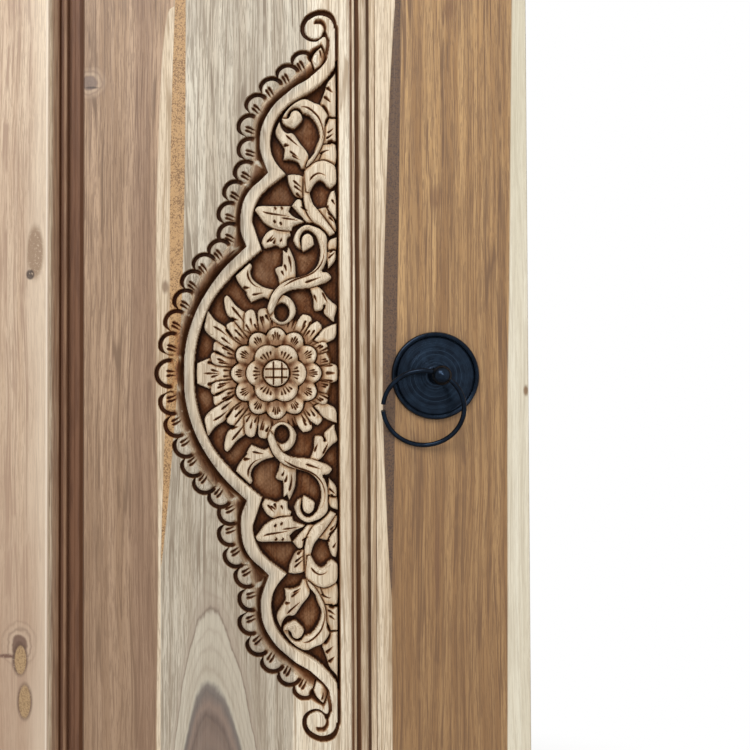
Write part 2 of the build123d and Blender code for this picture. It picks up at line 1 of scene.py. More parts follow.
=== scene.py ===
import bpy
import bmesh
import math
import numpy as np
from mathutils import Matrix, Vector


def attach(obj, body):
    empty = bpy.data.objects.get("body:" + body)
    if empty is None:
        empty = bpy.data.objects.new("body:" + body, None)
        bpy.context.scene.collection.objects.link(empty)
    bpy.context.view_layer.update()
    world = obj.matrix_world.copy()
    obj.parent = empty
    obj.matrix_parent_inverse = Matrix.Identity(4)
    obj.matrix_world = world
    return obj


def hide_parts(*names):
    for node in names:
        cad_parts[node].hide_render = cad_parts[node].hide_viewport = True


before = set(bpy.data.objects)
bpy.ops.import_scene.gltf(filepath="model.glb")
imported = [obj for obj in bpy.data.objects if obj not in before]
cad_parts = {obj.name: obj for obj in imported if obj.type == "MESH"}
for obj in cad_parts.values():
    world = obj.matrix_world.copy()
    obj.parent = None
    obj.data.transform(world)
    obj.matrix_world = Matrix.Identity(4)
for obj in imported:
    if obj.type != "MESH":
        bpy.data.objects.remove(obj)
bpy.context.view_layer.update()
print("frame loaded")

# The carved relief, in millimetres
# p runs from the carving's straight edge towards the hinges, q up from the middle of the flower.
# The lower half is the upper half turned over, so everything is drawn for q above zero.

relief = {
    "edgeX": -153.0,       # where p is zero, in the leaf's own x
    "middleZ": 1060.4,
    "stretch": 1.0112,     # the halves are drawn a touch short
    "faceY": 13.0,
    "step": 0.56,
    "reachP": (-4.2, 150.0),
    "reachQ": 297.0,
    "floor": -8.0,         # depth of the ground, below the board's face
    "wall": 0.9,           # how far a form's side leans out
    "triangles": 190000,
}

bandOuter = [
    (125.4, 0), (124.3, 20), (119.3, 40), (110.1, 60), (94.5, 82), (75, 101), (79.5, 113), (79.6, 126),
    (77, 138), (71, 147.5), (63, 154.5), (57.5, 160), (63.3, 176), (63.9, 186), (63.1, 194.4), (60, 202.8),
    (55, 211), (50, 217), (43.3, 222.8), (35.6, 229), (25.6, 234.7), (20, 239.4), (14.4, 244.4), (10, 250),
    (8.9, 255), (7.5, 262.7), (7.8, 268), (9.4, 273.8),
]
bandInner = [
    (2.6, 276), (2.6, 262), (2.7, 250), (3.3, 244.4), (7.2, 239.4), (11.7, 234), (21.7, 226), (31.1, 220.6),
    (40, 215), (46.1, 209), (51.1, 201.7), (53.9, 194.4), (55.3, 186), (54.4, 176), (50, 167), (43, 159),
    (49, 154.5), (57, 148.5), (64, 141), (68.6, 131), (70, 122), (68, 115), (62.5, 98.5), (74, 89),
    (86, 78), (101.2, 60), (110.4, 40), (115.7, 20), (117.3, 0),
]
groundLine = [
    (121, 0), (120, 20), (115, 40), (106, 60), (90, 80), (68.7, 99.7), (73.5, 114), (75, 124), (73, 135),
    (67.5, 144), (60, 151), (50, 159.5), (58.8, 176), (59.6, 186), (58.5, 194.4), (55.5, 202), (50.5, 210),
    (45, 216), (37.2, 222), (28.6, 227.6), (15.8, 236.7), (8, 244), (4, 250),
]
scallopSpots = [
    (28.6, 247), (40.8, 236.5), (54, 226), (65.3, 212.8), (71.4, 196.4), (71.4, 177.9), (74.5, 159.5),
    (83.2, 143.5), (87.7, 126.5), (87.7, 110), (95.8, 96.4), (108.2, 85.2), (117.3, 71.9), (123.4, 56.6),
    (130.6, 40.2), (134.6, 22.5),
]
voluteDisc = [
    (3.4, 276), (4.6, 280.6), (8.2, 284.4), (14.4, 286.2), (20, 285), (25.6, 281), (27.8, 275.4),
    (26.6, 270.6), (23.5, 267.9), (20, 266.8), (16.4, 267.3), (13.6, 269.4), (12.4, 272.5), (10.8, 274),
    (9.4, 271), (7.8, 267), (2.6, 266),
]

lastLeaf = [
    (14.0, 261.4), (17.6, 258.6), (20.8, 254.8), (22.0, 251), (21, 247), (19.6, 242.6), (14, 246.4),
    (10.6, 252), (12.0, 257),
]

# Each form: its top, how round its edge is, then its outline
leafRing = [
    (-2.5, 3.0, [(114.3, 7.8), (110, 9.5), (103.5, 11.7), (97, 9), (90, 6), (84, 8), (78, 8), (78, -9),
        (90, -8), (106, -11.6), (112.5, -9.7), (114, -6.7), (114.6, 0)]),
    (-2.7, 2.6, [(102, 16), (103, 11.7), (99.6, 7.2), (90, 7), (83, 9), (85, 16), (93, 19)]),
    (-2.3, 2.6, [(100.7, 24), (97.9, 25.3), (91.8, 24.4), (87, 20), (83, 14), (90, 13.5), (101.2, 19)]),
    (-2.5, 2.8, [(106, 49.2), (107.6, 41.7), (107.9, 35), (100, 27.5), (85.7, 18), (78, 24), (84, 28),
        (92.9, 36.9), (100.7, 42.2)]),
    (-2.3, 2.6, [(90.4, 37.2), (89, 39.7), (85.7, 40.8), (80, 39.5), (73, 32), (78, 24), (86, 29)]),
    (-2.5, 2.6, [(90.7, 61.8), (92.3, 60), (92.1, 55), (89.8, 47.2), (84, 42), (75, 31), (69, 35),
        (76.2, 47.2), (78.4, 49.4), (84, 53.9), (88.7, 60)]),
    (-2.1, 2.4, [(76, 35), (75.9, 46), (74.3, 49), (71.5, 50.4), (69, 49), (67.6, 44.4), (65.5, 34)]),
    (-2.3, 2.4, [(67, 36), (65.2, 48), (61, 51.4), (58.3, 50.8), (56, 41), (57, 36)]),
    (-2.1, 2.4, [(34.5, 36), (33.3, 41), (29.2, 46.4), (25, 45.5), (22.8, 43), (24, 37), (26, 32)]),
    (-2.1, 2.4, [(24.5, 36), (20.5, 39.5), (17.8, 40.9), (15, 37.9), (15, 34), (17, 31), (22, 26),
        (27, 30)]),
    (-3.3, 2.4, [(20, 26.5), (12.2, 35), (2.5, 39.2), (3.3, 29.7), (8.3, 25.8), (14, 24)]),
    (-2.1, 2.4, [(20, 24.4), (14, 24.3), (10.5, 22.5), (9.8, 18.5), (12.5, 16.5), (19, 13)]),
    (-2.3, 2.4, [(18, 15), (11, 15.6), (8.6, 10), (10.5, 5.5), (17, 3)]),
    (-2.5, 2.4, [(17, 5.5), (11.5, 4.5), (8.5, 6.5), (5.5, 6.7), (2.2, 4.5), (2, -6), (6.5, -8.3), (12, -6),
        (17, -6)]),
]
foliage = [
    (-2.7, 2.2, [(9.4, 100), (9.2, 104), (6.7, 107.3), (1.5, 109), (2.2, 98), (7, 93)]),
    (-2.3, 2.2, [(10.5, 95), (9.5, 89), (8.9, 83.5), (5.6, 86.8), (2.6, 91.2), (2.4, 98), (7, 98)]),
    (-2.3, 2.6, [(23.9, 68), (21, 60), (20.5, 52), (19.5, 49.8), (14.5, 50.2), (12, 54), (12.5, 48),
        (9, 44.5), (5.5, 41.4), (3.6, 41), (3.9, 43.9), (1.6, 53), (5.6, 56.8), (10, 61.2), (14, 67),
        (19, 70)]),
    (-1.9, 2.6, [(47.8, 68), (49.2, 76.8), (50.8, 80), (51.7, 83.4), (49.4, 85), (46, 85.7), (45.6, 88.4),
        (45.4, 99), (42.5, 96.5), (40.8, 101.5), (37.8, 95), (35.6, 87.9), (35, 73)]),
    (-2.1, 2.4, [(62.8, 104.8), (60, 99.8), (55.6, 100.9), (51, 102.5), (46.7, 100.4), (42.2, 102.3),
        (41.7, 107.9), (38.9, 110), (40, 114.5), (50, 116), (58, 113)]),
    (-1.3, 3.4, [(68.3, 130), (65, 133.8), (53.3, 133.9), (38.9, 133.9), (40.6, 129.3), (36.7, 125.4),
        (30, 122.4), (28, 121), (36.7, 117.8), (38.3, 113.8), (47.8, 114.3), (54.4, 116.6), (61, 121),
        (66, 127.7)]),
    (-2.1, 2.6, [(41.4, 158.8), (36.7, 159.4), (30, 158.2), (27.6, 154.3), (27.5, 143), (30, 140),
        (35.3, 142), (38.3, 147), (40.8, 152.7)]),
    (-2.1, 2.4, [(38.3, 134), (35, 138.2), (32.8, 139.6), (30, 138.2), (28.9, 133), (24, 127), (19, 121),
        (25.6, 120.5), (30, 125)]),
    (-2.3, 2.2, [(17.5, 131.3), (11, 133), (8.3, 131.6), (4.5, 125), (2.4, 118), (1.9, 113.2), (5.6, 114),
        (11, 122)]),
    (-2.5, 2.2, [(3.3, 146.6), (6.7, 144.9), (9.4, 137), (9.4, 132), (5, 126), (1.9, 122), (1.8, 138)]),
    (-2.1, 2.4, [(17, 168), (20, 176), (16.7, 186), (12.5, 184), (9.4, 187), (6, 185.6), (2.2, 182.5),
        (1.9, 170), (5, 166)]),
    (-2.3, 2.4, [(16, 184), (13.8, 192), (15, 199), (10.6, 198.3), (9.4, 202.8), (7.2, 205), (1.8, 203.9),
        (1.9, 186), (9, 184)]),
    (-2.1, 2.6, [(2.6, 245.5), (3.3, 240), (8.9, 233.3), (11, 226.7), (12.8, 221.7), (14.9, 214),
        (9, 205.5), (2.2, 205), (1.8, 225)]),
    (-1.7, 3.2, [(47.8, 202.2), (51, 195), (50.3, 190), (45.6, 182.8), (43.9, 179.3), (44.7, 171),
        (38.9, 171.3), (33, 169), (30.3, 163.8), (26, 164), (24.5, 175), (31, 184), (36.7, 192),
        (42, 192.5), (46, 196.5)]),
    (-1.5, 3.0, [(72.3, 88.4), (70.4, 85.7), (71.8, 80.7), (69.6, 75), (65, 71.2), (60, 68.6), (52.8, 66.8),
        (56.9, 59), (60.6, 60.6), (64.6, 59.6), (71.2, 56.8), (74.6, 62.3), (75, 65), (78.4, 68.4),
        (82.3, 74), (83.7, 77.9), (79.6, 81.8)]),
]
vineWork = [
    (-1.2, 3.0, [(3, 112), (7.6, 109.5), (15, 117), (22, 122), (27, 131), (28.9, 143), (28.6, 154),
        (28, 161), (25.6, 168), (20, 176), (14, 176), (20, 160), (22, 151), (23.6, 145), (21, 136),
        (17.2, 131), (11, 123)]),
    (-0.8, 3.4, [(27.2, 162), (22.8, 166.6), (17.8, 169.3), (12.2, 170.2), (6.7, 168.2), (2.5, 164.3),
        (1.9, 153.2), (3.9, 149.9), (7.2, 147.9), (9.7, 149.9), (12.2, 152.7), (15.3, 154.3), (19.5, 152),
        (23.6, 145), (26.5, 145), (27.5, 155)]),
    (-1.0, 3.0, [(46, 203.9), (41, 211.7), (34.4, 217.2), (27.2, 219.7), (20, 216.7), (14.4, 214.4),
        (10, 209), (8.6, 204.4), (11, 198), (11.5, 190), (13, 183), (17, 175), (22, 168), (27, 164),
        (25, 170), (20, 176), (16.7, 184.4), (15.3, 190), (16.7, 196.7), (20, 202.8), (24.4, 207.2),
        (28.9, 208.3), (32, 212), (37, 212), (41.5, 207), (41, 200), (44.5, 199.5)]),
]
longVine = (-0.8, 3.4, [(58.1, 51.8), (56.4, 57.9), (53.9, 64), (47.8, 70.7), (40.6, 74.6), (33.9, 76.5),
    (25.6, 79), (20, 82.9), (16.7, 87.9), (15.3, 94), (15.3, 99.6), (16.7, 105), (19.2, 110.5),
    (24.4, 114.4), (28.9, 113.4), (31.7, 107.9), (31, 102.5), (30.5, 99), (33.9, 100.7), (36.7, 105.7),
    (36.1, 109.6), (33.9, 114), (30, 117.3), (25.6, 118.7), (20, 117.3), (15, 115), (10, 109.6),
    (9.7, 100.7), (10, 90.7), (13.9, 81.2), (10, 80.7), (7.2, 78.4), (6.1, 76.2), (10, 72.9), (14.4, 71.2),
    (22.2, 68.4), (30, 67.6), (38.9, 66.5), (45.6, 62.9), (49.4, 57.9), (53, 50), (56, 46)])
eggs = [
    (-0.9, 4.4, [(29.9, 108), (27.5, 111), (24.5, 111.6), (21.5, 109), (20.4, 105), (20.8, 102.3),
        (25.6, 99), (29.2, 97.1), (30.4, 101)]),
    (-0.9, 4.4, [(46, 203.9), (43.9, 199.4), (40, 197.2), (36.7, 196), (33.3, 198.3), (29.4, 203.3),
        (30.6, 207.8), (34.4, 210.6), (38.3, 209), (40.5, 204.4)]),
]
loopRing = {"centre": (46.4, 48.6), "hole": (6.6, 8.05), "rim": 5.4, "top": -1.0, "edge": 2.6}
flower = {
    "centre": (51.0, 0.0), "button": 10.4, "buttonTop": -0.4, "bedTop": -3.7,
    "rootReach": 31.0, "rootLimit": 40.5,
    "uprightCuts": (-4.6, 2.2), "levelCut": 3.3, "crossReach": 9.6, "crossWidth": 0.95, "crossDepth": 1.3,
}
# A stroke has its turn from the petal's middle, then how far from the flower's middle it starts and ends
petalRings = [
    {"count": 12, "tip": 36.6, "notch": 31.6, "top": -1.7, "base": 26.0,
     "knife": (1.1, 1.4), "fan": (0.8, 1.15),
     "strokes": [(-4.4, 25.5, 31.6), (-1.4, 25.5, 33.8), (1.8, 25.5, 33.2), (4.6, 25.5, 31.4)]},
    {"count": 6, "tip": 24.3, "notch": 20.4, "top": -0.9, "base": 13.0,
     "knife": (1.3, 1.5), "fan": (1.0, 1.25),
     "strokes": [(-12, 14, 18.4), (-4.2, 11.8, 19), (4.2, 11.8, 19), (12, 14, 18.4)]},
]
shell = {
    "size": 8.1, "middleSize": 9.1, "middle": (136.6, 0.0), "tail": 13.0,
    "narrowRim": 0.9, "rimGrowth": 2.5, "rimDepth": 3.2, "shade": 0.66, "zone": 15.0, "knife": (2.0, 1.6),
    "nicks": [[(4.4, -0.6), (-0.6, -0.9), (-5.8, -2.8)], [(4.2, -3.3), (-0.4, -3.9), (-5.2, -5.2)]],
    "middleNicks": [[(3.0, 2.2), (-1.0, 1.6), (-5.5, 1.8)]],
}
gutter = {"depth": 3.8, "narrowDepth": 3.6, "straightP": 1.4, "straightHalf": 1.5}
voluteRim = [
    (0.6, 266), (0.8, 274), (2.6, 283), (6.6, 288.4), (13.3, 290.6), (19.4, 289.4), (25.4, 286.4),
    (29.4, 281.2), (30.9, 275.6), (29.8, 270.2), (26.4, 266.6), (22, 264.8), (18, 264.8), (14.6, 266.8),
    (11.6, 268.6), (7, 266),
]

# Knife cuts: width, depth, then the lines they follow
fineCuts = [
    (1.3, 1.6, [[(104, 3.1), (95.7, 0.8)], [(99, 11.9), (90, 8.3)]]),
    (1.2, 1.6, [[(109.6, 0), (90.7, -0.6)], [(102, 37.8), (95.5, 34), (89.6, 28.9)], [(95.7, 29.2),
        (86.2, 21.7)], [(84.6, 35.3), (79, 29.2)], [(72, 44.4), (70, 36)], [(62.2, 46), (60.6, 39)],
        [(22.8, 41.7), (26, 35)], [(19.7, 34.7), (24.4, 27.8)], [(12.8, 21.7), (17.5, 18.9)], [(10.6, 11),
        (15, 10.6)], [(7.8, 96), (3.3, 99.6)], [(9.2, 91.2), (2.8, 97)], [(20.6, 62.9), (17.5, 55)],
        [(41, 94.6), (38.9, 85), (39.2, 79)], [(46.7, 82), (44.2, 76.8)], [(70.7, 62.3), (60, 64.3)],
        [(58.6, 104), (52.2, 111.2)], [(56, 105), (51, 109)], [(47.5, 104.6), (45.6, 109)], [(37.2, 154.3),
        (28.9, 147)], [(36.7, 150.2), (28.9, 143.8)], [(31, 133), (24.4, 129.3)], [(9.4, 128.8),
        (2.8, 122)], [(8.3, 125), (3.3, 120)], [(6, 139), (2.8, 133.8)], [(9.4, 191.7), (3.3, 196.4)],
        [(10.6, 187.2), (3.3, 192.2)], [(40, 177.7), (31.7, 171.6)], [(38.3, 174.3), (31, 170)]]),
    (1.9, 2.2, [[(106.8, 9.2), (100, 6.9)]]),
    (1.2, 1.5, [[(95, 21), (87.3, 16.7)]]),
    (1.6, 2.4, [[(101.2, 17.8), (90.7, 13.3)], [(92, 35.8), (84, 26.7)]]),
    (1.3, 1.8, [[(87.3, 53.9), (80, 45), (74.6, 37.8)], [(26.7, 42.2), (30.6, 36)], [(13.9, 65),
        (8.9, 54.6)], [(28.3, 71.8), (13.6, 76.8)]]),
    (1.8, 2.4, [[(88.2, 43.9), (80.7, 42.2)], [(13.3, 215), (9.4, 210), (7.5, 204.4)]]),
    (1.6, 2.2, [[(59.7, 47), (56, 40.8)], [(12.2, 55), (11.7, 50)]]),
    (1.6, 1.8, [[(11.4, 0.3), (2.5, 0.3)]]),
    (1.4, 1.8, [[(44.6, 87), (43.3, 84.3), (42.3, 80)], [(52.3, 133), (51, 131.3), (52, 129.4)], [(47, 133),
        (45.7, 131.3), (46.7, 129.4)], [(53, 122), (51.5, 120.4), (52.4, 118.6)], [(48, 120.5),
        (46.5, 118.8), (47.4, 117)]]),
    (1.1, 1.4, [[(46.9, 67.9), (36.7, 74), (25.6, 77.9), (18.9, 81.8), (13.9, 88.4), (12.2, 97.3),
        (13.9, 105), (18.9, 110.7)], [(73.7, 82.9), (73.2, 76.2), (68.4, 70), (60, 67.3)], [(24, 153),
        (21, 157), (16.7, 159.3), (12.2, 158.2), (8.9, 154.9)], [(31, 212.8), (25.6, 212.2), (20, 208.3),
        (15.6, 202.8), (12.8, 194.4), (13.3, 187.8), (16.7, 180)], [(43.3, 191), (38.9, 186.7),
        (31, 180)]]),
    (2.0, 2.6, [[(13.9, 81.2), (9.4, 83.4)]]),
    (1.8, 2.2, [[(77.9, 68.4), (71.2, 67.9)], [(44.7, 182.7), (39.4, 181.6)]]),
    (1.5, 2.0, [[(53, 103), (51, 108)], [(35, 144.3), (30, 140)]]),
    (1.0, 1.2, [[(62.8, 129.6), (57.8, 127.7), (45, 125.7), (35.6, 123.8)], [(46.7, 123.8), (39.4, 122.9),
        (30, 121.3)]]),
    (1.4, 2.0, [[(10, 134), (8, 131.5)]]),
    (1.1, 1.5, [[(16, 175.2), (10, 177.9), (6.9, 177.9)]]),
    (2.4, 2.6, [[(9.4, 183.6), (6, 185.6), (2.2, 182.5)]]),
    (1.5, 2.2, [[(10.6, 198.3), (9.4, 202.8), (7.2, 205), (1.4, 203.9)]]),
    (1.9, 2.4, [[(10, 229.4), (4.4, 224)], [(12.2, 222.2), (5.6, 216)]]),
    (3.0, 3.0, [[(23.4, 248.6), (23.3, 252.6), (20.8, 257), (17, 260), (14.4, 262.4), (14, 266.4)]]),
    (1.0, 1.4, [[(15.4, 258.4), (14.5, 254.6), (14.2, 251)]]),
    (2.7, 2.8, [[(20.2, 278.2), (17.8, 280.6), (14.4, 280.7), (11.7, 278.2), (10.9, 274.4), (11.6, 270.6),
        (12.4, 266.8)]]),
]


def easeStep(value):
    value = np.clip(value, 0.0, 1.0)
    return value * value * (3.0 - 2.0 * value)


def isTip(before, here, after):
    # A corner that turns by more than 62 degrees stays sharp
    one, two = here - before, after - here
    size = np.hypot(*one) * np.hypot(*two)
    return size > 1e-9 and (one @ two) / size < 0.47


def smoothed(points, closed=True, parts=4):
    # Catmull-Rom through the drawn points, so that a few of them give a flowing outline
    pts = np.array(points, float)
    count = len(pts)
    if count < 3:
        return pts
    spans = count if closed else count - 1
    made = []
    for i in range(spans):
        if closed:
            a, b, c, d = (pts[(i + k) % count] for k in (-1, 0, 1, 2))
        else:
            a, b, c, d = (pts[min(max(i + k, 0), count - 1)] for k in (-1, 0, 1, 2))
        startPull = (c - b) * 0.5 if isTip(a, b, c) else (c - a) * 0.5
        endPull = (c - b) * 0.5 if isTip(b, c, d) else (d - b) * 0.5
        for k in range(parts):
            t = k / parts
            made.append((2 * t ** 3 - 3 * t * t + 1) * b + (t ** 3 - 2 * t * t + t) * startPull
                        + (3 * t * t - 2 * t ** 3) * c + (t ** 3 - t * t) * endPull)
    if not closed:
        made.append(pts[-1])
    return np.array(made)


class ReliefSheet:
    # One half of the carving as a sheet of heights, with the dark stain and the painted shade that the
    # hollows hold
    def __init__(self, settings):
        step = settings["step"]
        low, high = settings["reachP"]
        self.p = low + step * np.arange(int(round((high - low) / step)) + 1)
        self.q = step * np.arange(int(round(settings["reachQ"] / step)) + 1)
        self.gridP, self.gridQ = np.meshgrid(self.p, self.q)
        self.height = np.zeros_like(self.gridP)
        self.cut = np.zeros_like(self.gridP)
        self.shade = np.zeros_like(self.gridP)
        self.step = step
        self.floor = settings["floor"]
        self.wall = settings["wall"]

    def window(self, points, margin):
        pts = np.asarray(points)
        p0, q0 = pts.min(0) - margin
        p1, q1 = pts.max(0) + margin
        cols = slice(max(0, int((p0 - self.p[0]) / self.step)), max(0, int((p1 - self.p[0]) / self.step) + 2))
        rows = slice(max(0, int(q0 / self.step)), max(0, int(q1 / self.step) + 2))
        return rows, cols

    def inside(self, outline, margin=3.0):
        # Distance inside an outline, negative outside it
        rows, cols = self.window(outline, margin)
        gp, gq = self.gridP[rows, cols], self.gridQ[rows, cols]
        best = np.full(gp.shape, 1e9)
        within = np.zeros(gp.shape, bool)
        for a, b in zip(outline, np.roll(outline, -1, axis=0)):
            along = b - a
            size = along @ along
            if size < 1e-9:
                continue
            t = np.clip(((gp - a[0]) * along[0] + (gq - a[1]) * along[1]) / size, 0, 1)
            best = np.minimum(best, (gp - a[0] - t * along[0]) ** 2 + (gq - a[1] - t * along[1]) ** 2)
            if a[1] != b[1]:
                crossing = (a[1] > gq) != (b[1] > gq)
                within ^= crossing & (gp < a[0] + (gq - a[1]) * along[0] / along[1])
        distance = np.sqrt(best)
        return (rows, cols), np.where(within, distance, -distance)

    def stand(self, place, distance, top, edge, cutWidth=1.0, cutDepth=1.4, drop=2.0, shade=0.0, shadeAround=0.0):
        # A form stands on what is there, in a narrow cut of its own, with its edges rounded over
        rows, cols = place
        now = self.height[rows, cols]
        ditch = top - drop - cutDepth * easeStep((distance + cutWidth) / cutWidth)
        near = distance > -cutWidth
        now = np.where(near, np.minimum(now, np.maximum(ditch, self.floor)), now)
        rounded = np.clip(1.0 - distance / edge, 0.0, 1.0) ** 2
        shape = top - drop * rounded
        side = easeStep((distance + self.wall * 0.5) / self.wall)
        shape = self.floor + (shape - self.floor) * side
        shape = np.where(distance > -self.wall, shape, self.floor)
        # Painted shade on the ground just outside the form, as if the form shaded it; where the form is on
        # top it takes the painted shade it is given
        beside = shadeAround * easeStep((distance + 3.4) / 3.4) * (distance < 0)
        self.shade[rows, cols] = np.maximum(self.shade[rows, cols], beside)
        covered = (shape > now) & (distance > 0)
        self.shade[rows, cols] = np.where(covered, shade, self.shade[rows, cols])
        self.cut[rows, cols] = np.where(covered, 0.0, self.cut[rows, cols])
        self.height[rows, cols] = np.maximum(now, shape)

    def addForm(self, top, edge, outline):
        place, distance = self.inside(smoothed(outline))
        # Every form casts painted shade round itself
        self.stand(place, distance, top, edge, shadeAround=0.32)

    def take(self, place, depth, bite):
        self.height[place] -= depth * bite
        self.cut[place] = np.maximum(self.cut[place], bite)

    def addCut(self, width, depth, line):
        # A knife cut, widest near its start and fading out to its end
        pts = smoothed(line, closed=False, parts=5) if len(line) > 2 else np.array(line, float)
        rows, cols = self.window(pts, width + 1)
        gp, gq = self.gridP[rows, cols], self.gridQ[rows, cols]
        lengths = np.hypot(*(pts[1:] - pts[:-1]).T)
        total = lengths.sum()
        best = np.full(gp.shape, 1e9)
        share = np.zeros(gp.shape)
        run = 0.0
        for a, b, size in zip(pts[:-1], pts[1:], lengths):
            along = (b - a) / size
            t = np.clip((gp - a[0]) * along[0] + (gq - a[1]) * along[1], 0, size)
            far = np.hypot(gp - a[0] - t * along[0], gq - a[1] - t * along[1])
            closer = far < best
            best = np.where(closer, far, best)
            share = np.where(closer, (run + t) / total, share)
            run += size
        taper = np.clip(np.minimum(share / 0.16, (1 - share) / 0.7), 0.0, 1.0) ** 0.7
        half = np.maximum(0.82 * width * taper, 1e-3)
        bite = np.clip(1.0 - best / half, 0.0, 1.0) * taper
        self.take((rows, cols), depth, bite)


def petalReach(angle, count, tip, notch):
    # How far a ring of round petals reaches at each angle
    wave = np.abs(np.sin(angle * count / 2.0))
    return notch + (tip - notch) * np.sqrt(np.clip(1.0 - wave ** 2.2, 0.0, 1.0))


def around(angle, reach):
    # A place at an angle and a distance from the flower's middle
    cp, cq = flower["centre"]
    return (cp + reach * math.cos(angle), cq + reach * math.sin(angle))


def rooted(outline):
    # The inner ends of the leaves run on under the petals
    cp, cq = flower["centre"]
    moved = []
    for p, q in outline:
        away = math.hypot(p - cp, q - cq)
        pull = flower["rootReach"] / away if away < flower["rootLimit"] else 1.0
        moved.append((cp + (p - cp) * pull, cq + (q - cq) * pull))
    return moved


def crossCut(sheet, upright, level):
    # One straight cut across the button
    cp, cq = flower["centre"]
    size = flower["button"]
    place = sheet.window([(cp - size, 0), (cp + size, size)], 2)
    gp, gq = sheet.gridP[place] - cp, sheet.gridQ[place] - cq
    far = np.abs((gp if upright else gq) - level)
    bite = np.clip(1 - far / flower["crossWidth"], 0, 1) * (np.hypot(gp, gq) < flower["crossReach"])
    sheet.take(place, flower["crossDepth"], bite)


def addFlower(sheet):
    cp, cq = flower["centre"]
    reach = 48.0
    place = sheet.window([(cp - reach, -1), (cp + reach, reach)], 0)
    gp, gq = sheet.gridP[place] - cp, sheet.gridQ[place] - cq
    radius = np.hypot(gp, gq)
    angle = np.arctan2(gq, gp)
    for ring in petalRings:
        edgeAt = petalReach(angle, ring["count"], ring["tip"], ring["notch"])
        scoop = np.clip(1.0 - (radius - ring["base"]) / (ring["tip"] - ring["base"]), 0.0, 1.0) ** 1.6
        groove = np.abs(np.sin(angle * ring["count"] / 2.0)) ** 14
        top = ring["top"] - 1.7 * scoop - 1.4 * groove
        sheet.stand(place, (edgeAt - radius) * 0.92, top, 2.4, cutWidth=1.3, cutDepth=2.4, drop=1.6,
                    shade=0.38 * scoop ** 1.7 + 0.22 * groove)
    inButton = flower["button"] - radius
    sheet.stand(place, inButton, flower["buttonTop"], 6.0, cutWidth=2.2, cutDepth=3.0, drop=2.0)
    for ring in reversed(petalRings):
        nearTurn, farTurn = ring["fan"]
        for petal in range(ring["count"]):
            middle = 2 * math.pi * petal / ring["count"]
            for side, near, far in ring["strokes"]:
                sheet.addCut(*ring["knife"], [around(middle + math.radians(side * farTurn), far),
                                              around(middle + math.radians(side * nearTurn), near)])
    for level in flower["uprightCuts"]:
        crossCut(sheet, True, level)
    crossCut(sheet, False, flower["levelCut"])


def shellBelt():
    # Each shell's place, the directions along the belt and outwards, and its size
    path = [np.array(spot, float) for spot in scallopSpots + [shell["middle"]]]
    path = [path[0] + (path[0] - path[1])] + path
    belt = []
    for before, spot, after in zip(path, path[1:], path[2:]):
        along = before - after
        along = along / np.hypot(*along)
        belt.append((spot, along, np.array([along[1], -along[0]]), shell["size"]))
    belt.append((path[-1], np.array([0.0, 1.0]), np.array([1.0, 0.0]), shell["middleSize"]))
    return belt


def addScallops(sheet):
    # Shells along the band, each cut over the one before, with curved nicks on every shell
    belt = shellBelt()
    for spot, along, outward, size in belt:
        place = sheet.window([spot - 17, spot + 17], 0)
        dp, dq = sheet.gridP[place] - spot[0], sheet.gridQ[place] - spot[1]
        u = dp * outward[0] + dq * outward[1]
        v = dp * along[0] + dq * along[1]
        far = np.where(u > 0, np.hypot(u, v), np.abs(v) - 0.06 * u)
        facing = np.clip((u + 0.75 * v) / np.maximum(np.hypot(u, v), 0.1), -1, 1)
        wide = shell["narrowRim"] + shell["rimGrowth"] * easeStep(facing + 0.3)
        ahead = u > -shell["tail"]
        grooved = easeStep((size + wide - far) / 1.1) * ahead * easeStep((u + 5.0) / 6.0)
        now = sheet.height[place]
        now = np.where((far < size + wide) & ahead, np.minimum(now, -shell["rimDepth"] * grooved), now)
        distance = size - far
        dome = -0.15 - 2.4 * easeStep((3.0 - u) / 10.0) - 1.5 * np.clip(1 - distance / 2.4, 0, 1) ** 2
        side = easeStep((distance + 0.45) / 0.9)
        over = (distance > -0.45) & ahead
        foot = -shell["rimDepth"] - 0.1
        sheet.height[place] = np.where(over, np.maximum(now, foot + (dome - foot) * side), now)
        cut = np.where(over, np.minimum(sheet.cut[place], 1 - side), sheet.cut[place])
        sheet.cut[place] = np.maximum(cut, 0.85 * grooved * (1 - side))
        shade = shell["shade"] * easeStep((-0.5 - u) / 7.5) ** 1.4
        sheet.shade[place] = np.where(over, shade, sheet.shade[place])
    for spot, along, outward, size in belt:
        for nick in shell["middleNicks"] if size == shell["middleSize"] else shell["nicks"]:
            sheet.addCut(*shell["knife"], [spot + outward * out + along * up for out, up in nick])


def scallopZone(sheet):
    # Where the shells and their grooves lie
    zone = np.zeros(sheet.height.shape, bool)
    for p, q in scallopSpots + [shell["middle"]]:
        zone |= np.hypot(sheet.gridP - p, sheet.gridQ - q) < shell["zone"]
    return zone


def blurred(field, width):
    # Gaussian blur through the Fourier transform, on the sheet doubled by mirroring
    rows, cols = field.shape
    fr = np.fft.fftfreq(rows * 2)[:, None]
    fc = np.fft.rfftfreq(cols * 2)[None, :]
    padded = np.pad(field, ((0, rows), (0, cols)), mode="symmetric")
    spectrum = np.fft.rfft2(padded) * np.exp(-2 * (math.pi * width) ** 2 * (fr ** 2 + fc ** 2))
    return np.fft.irfft2(spectrum, s=padded.shape)[:rows, :cols]


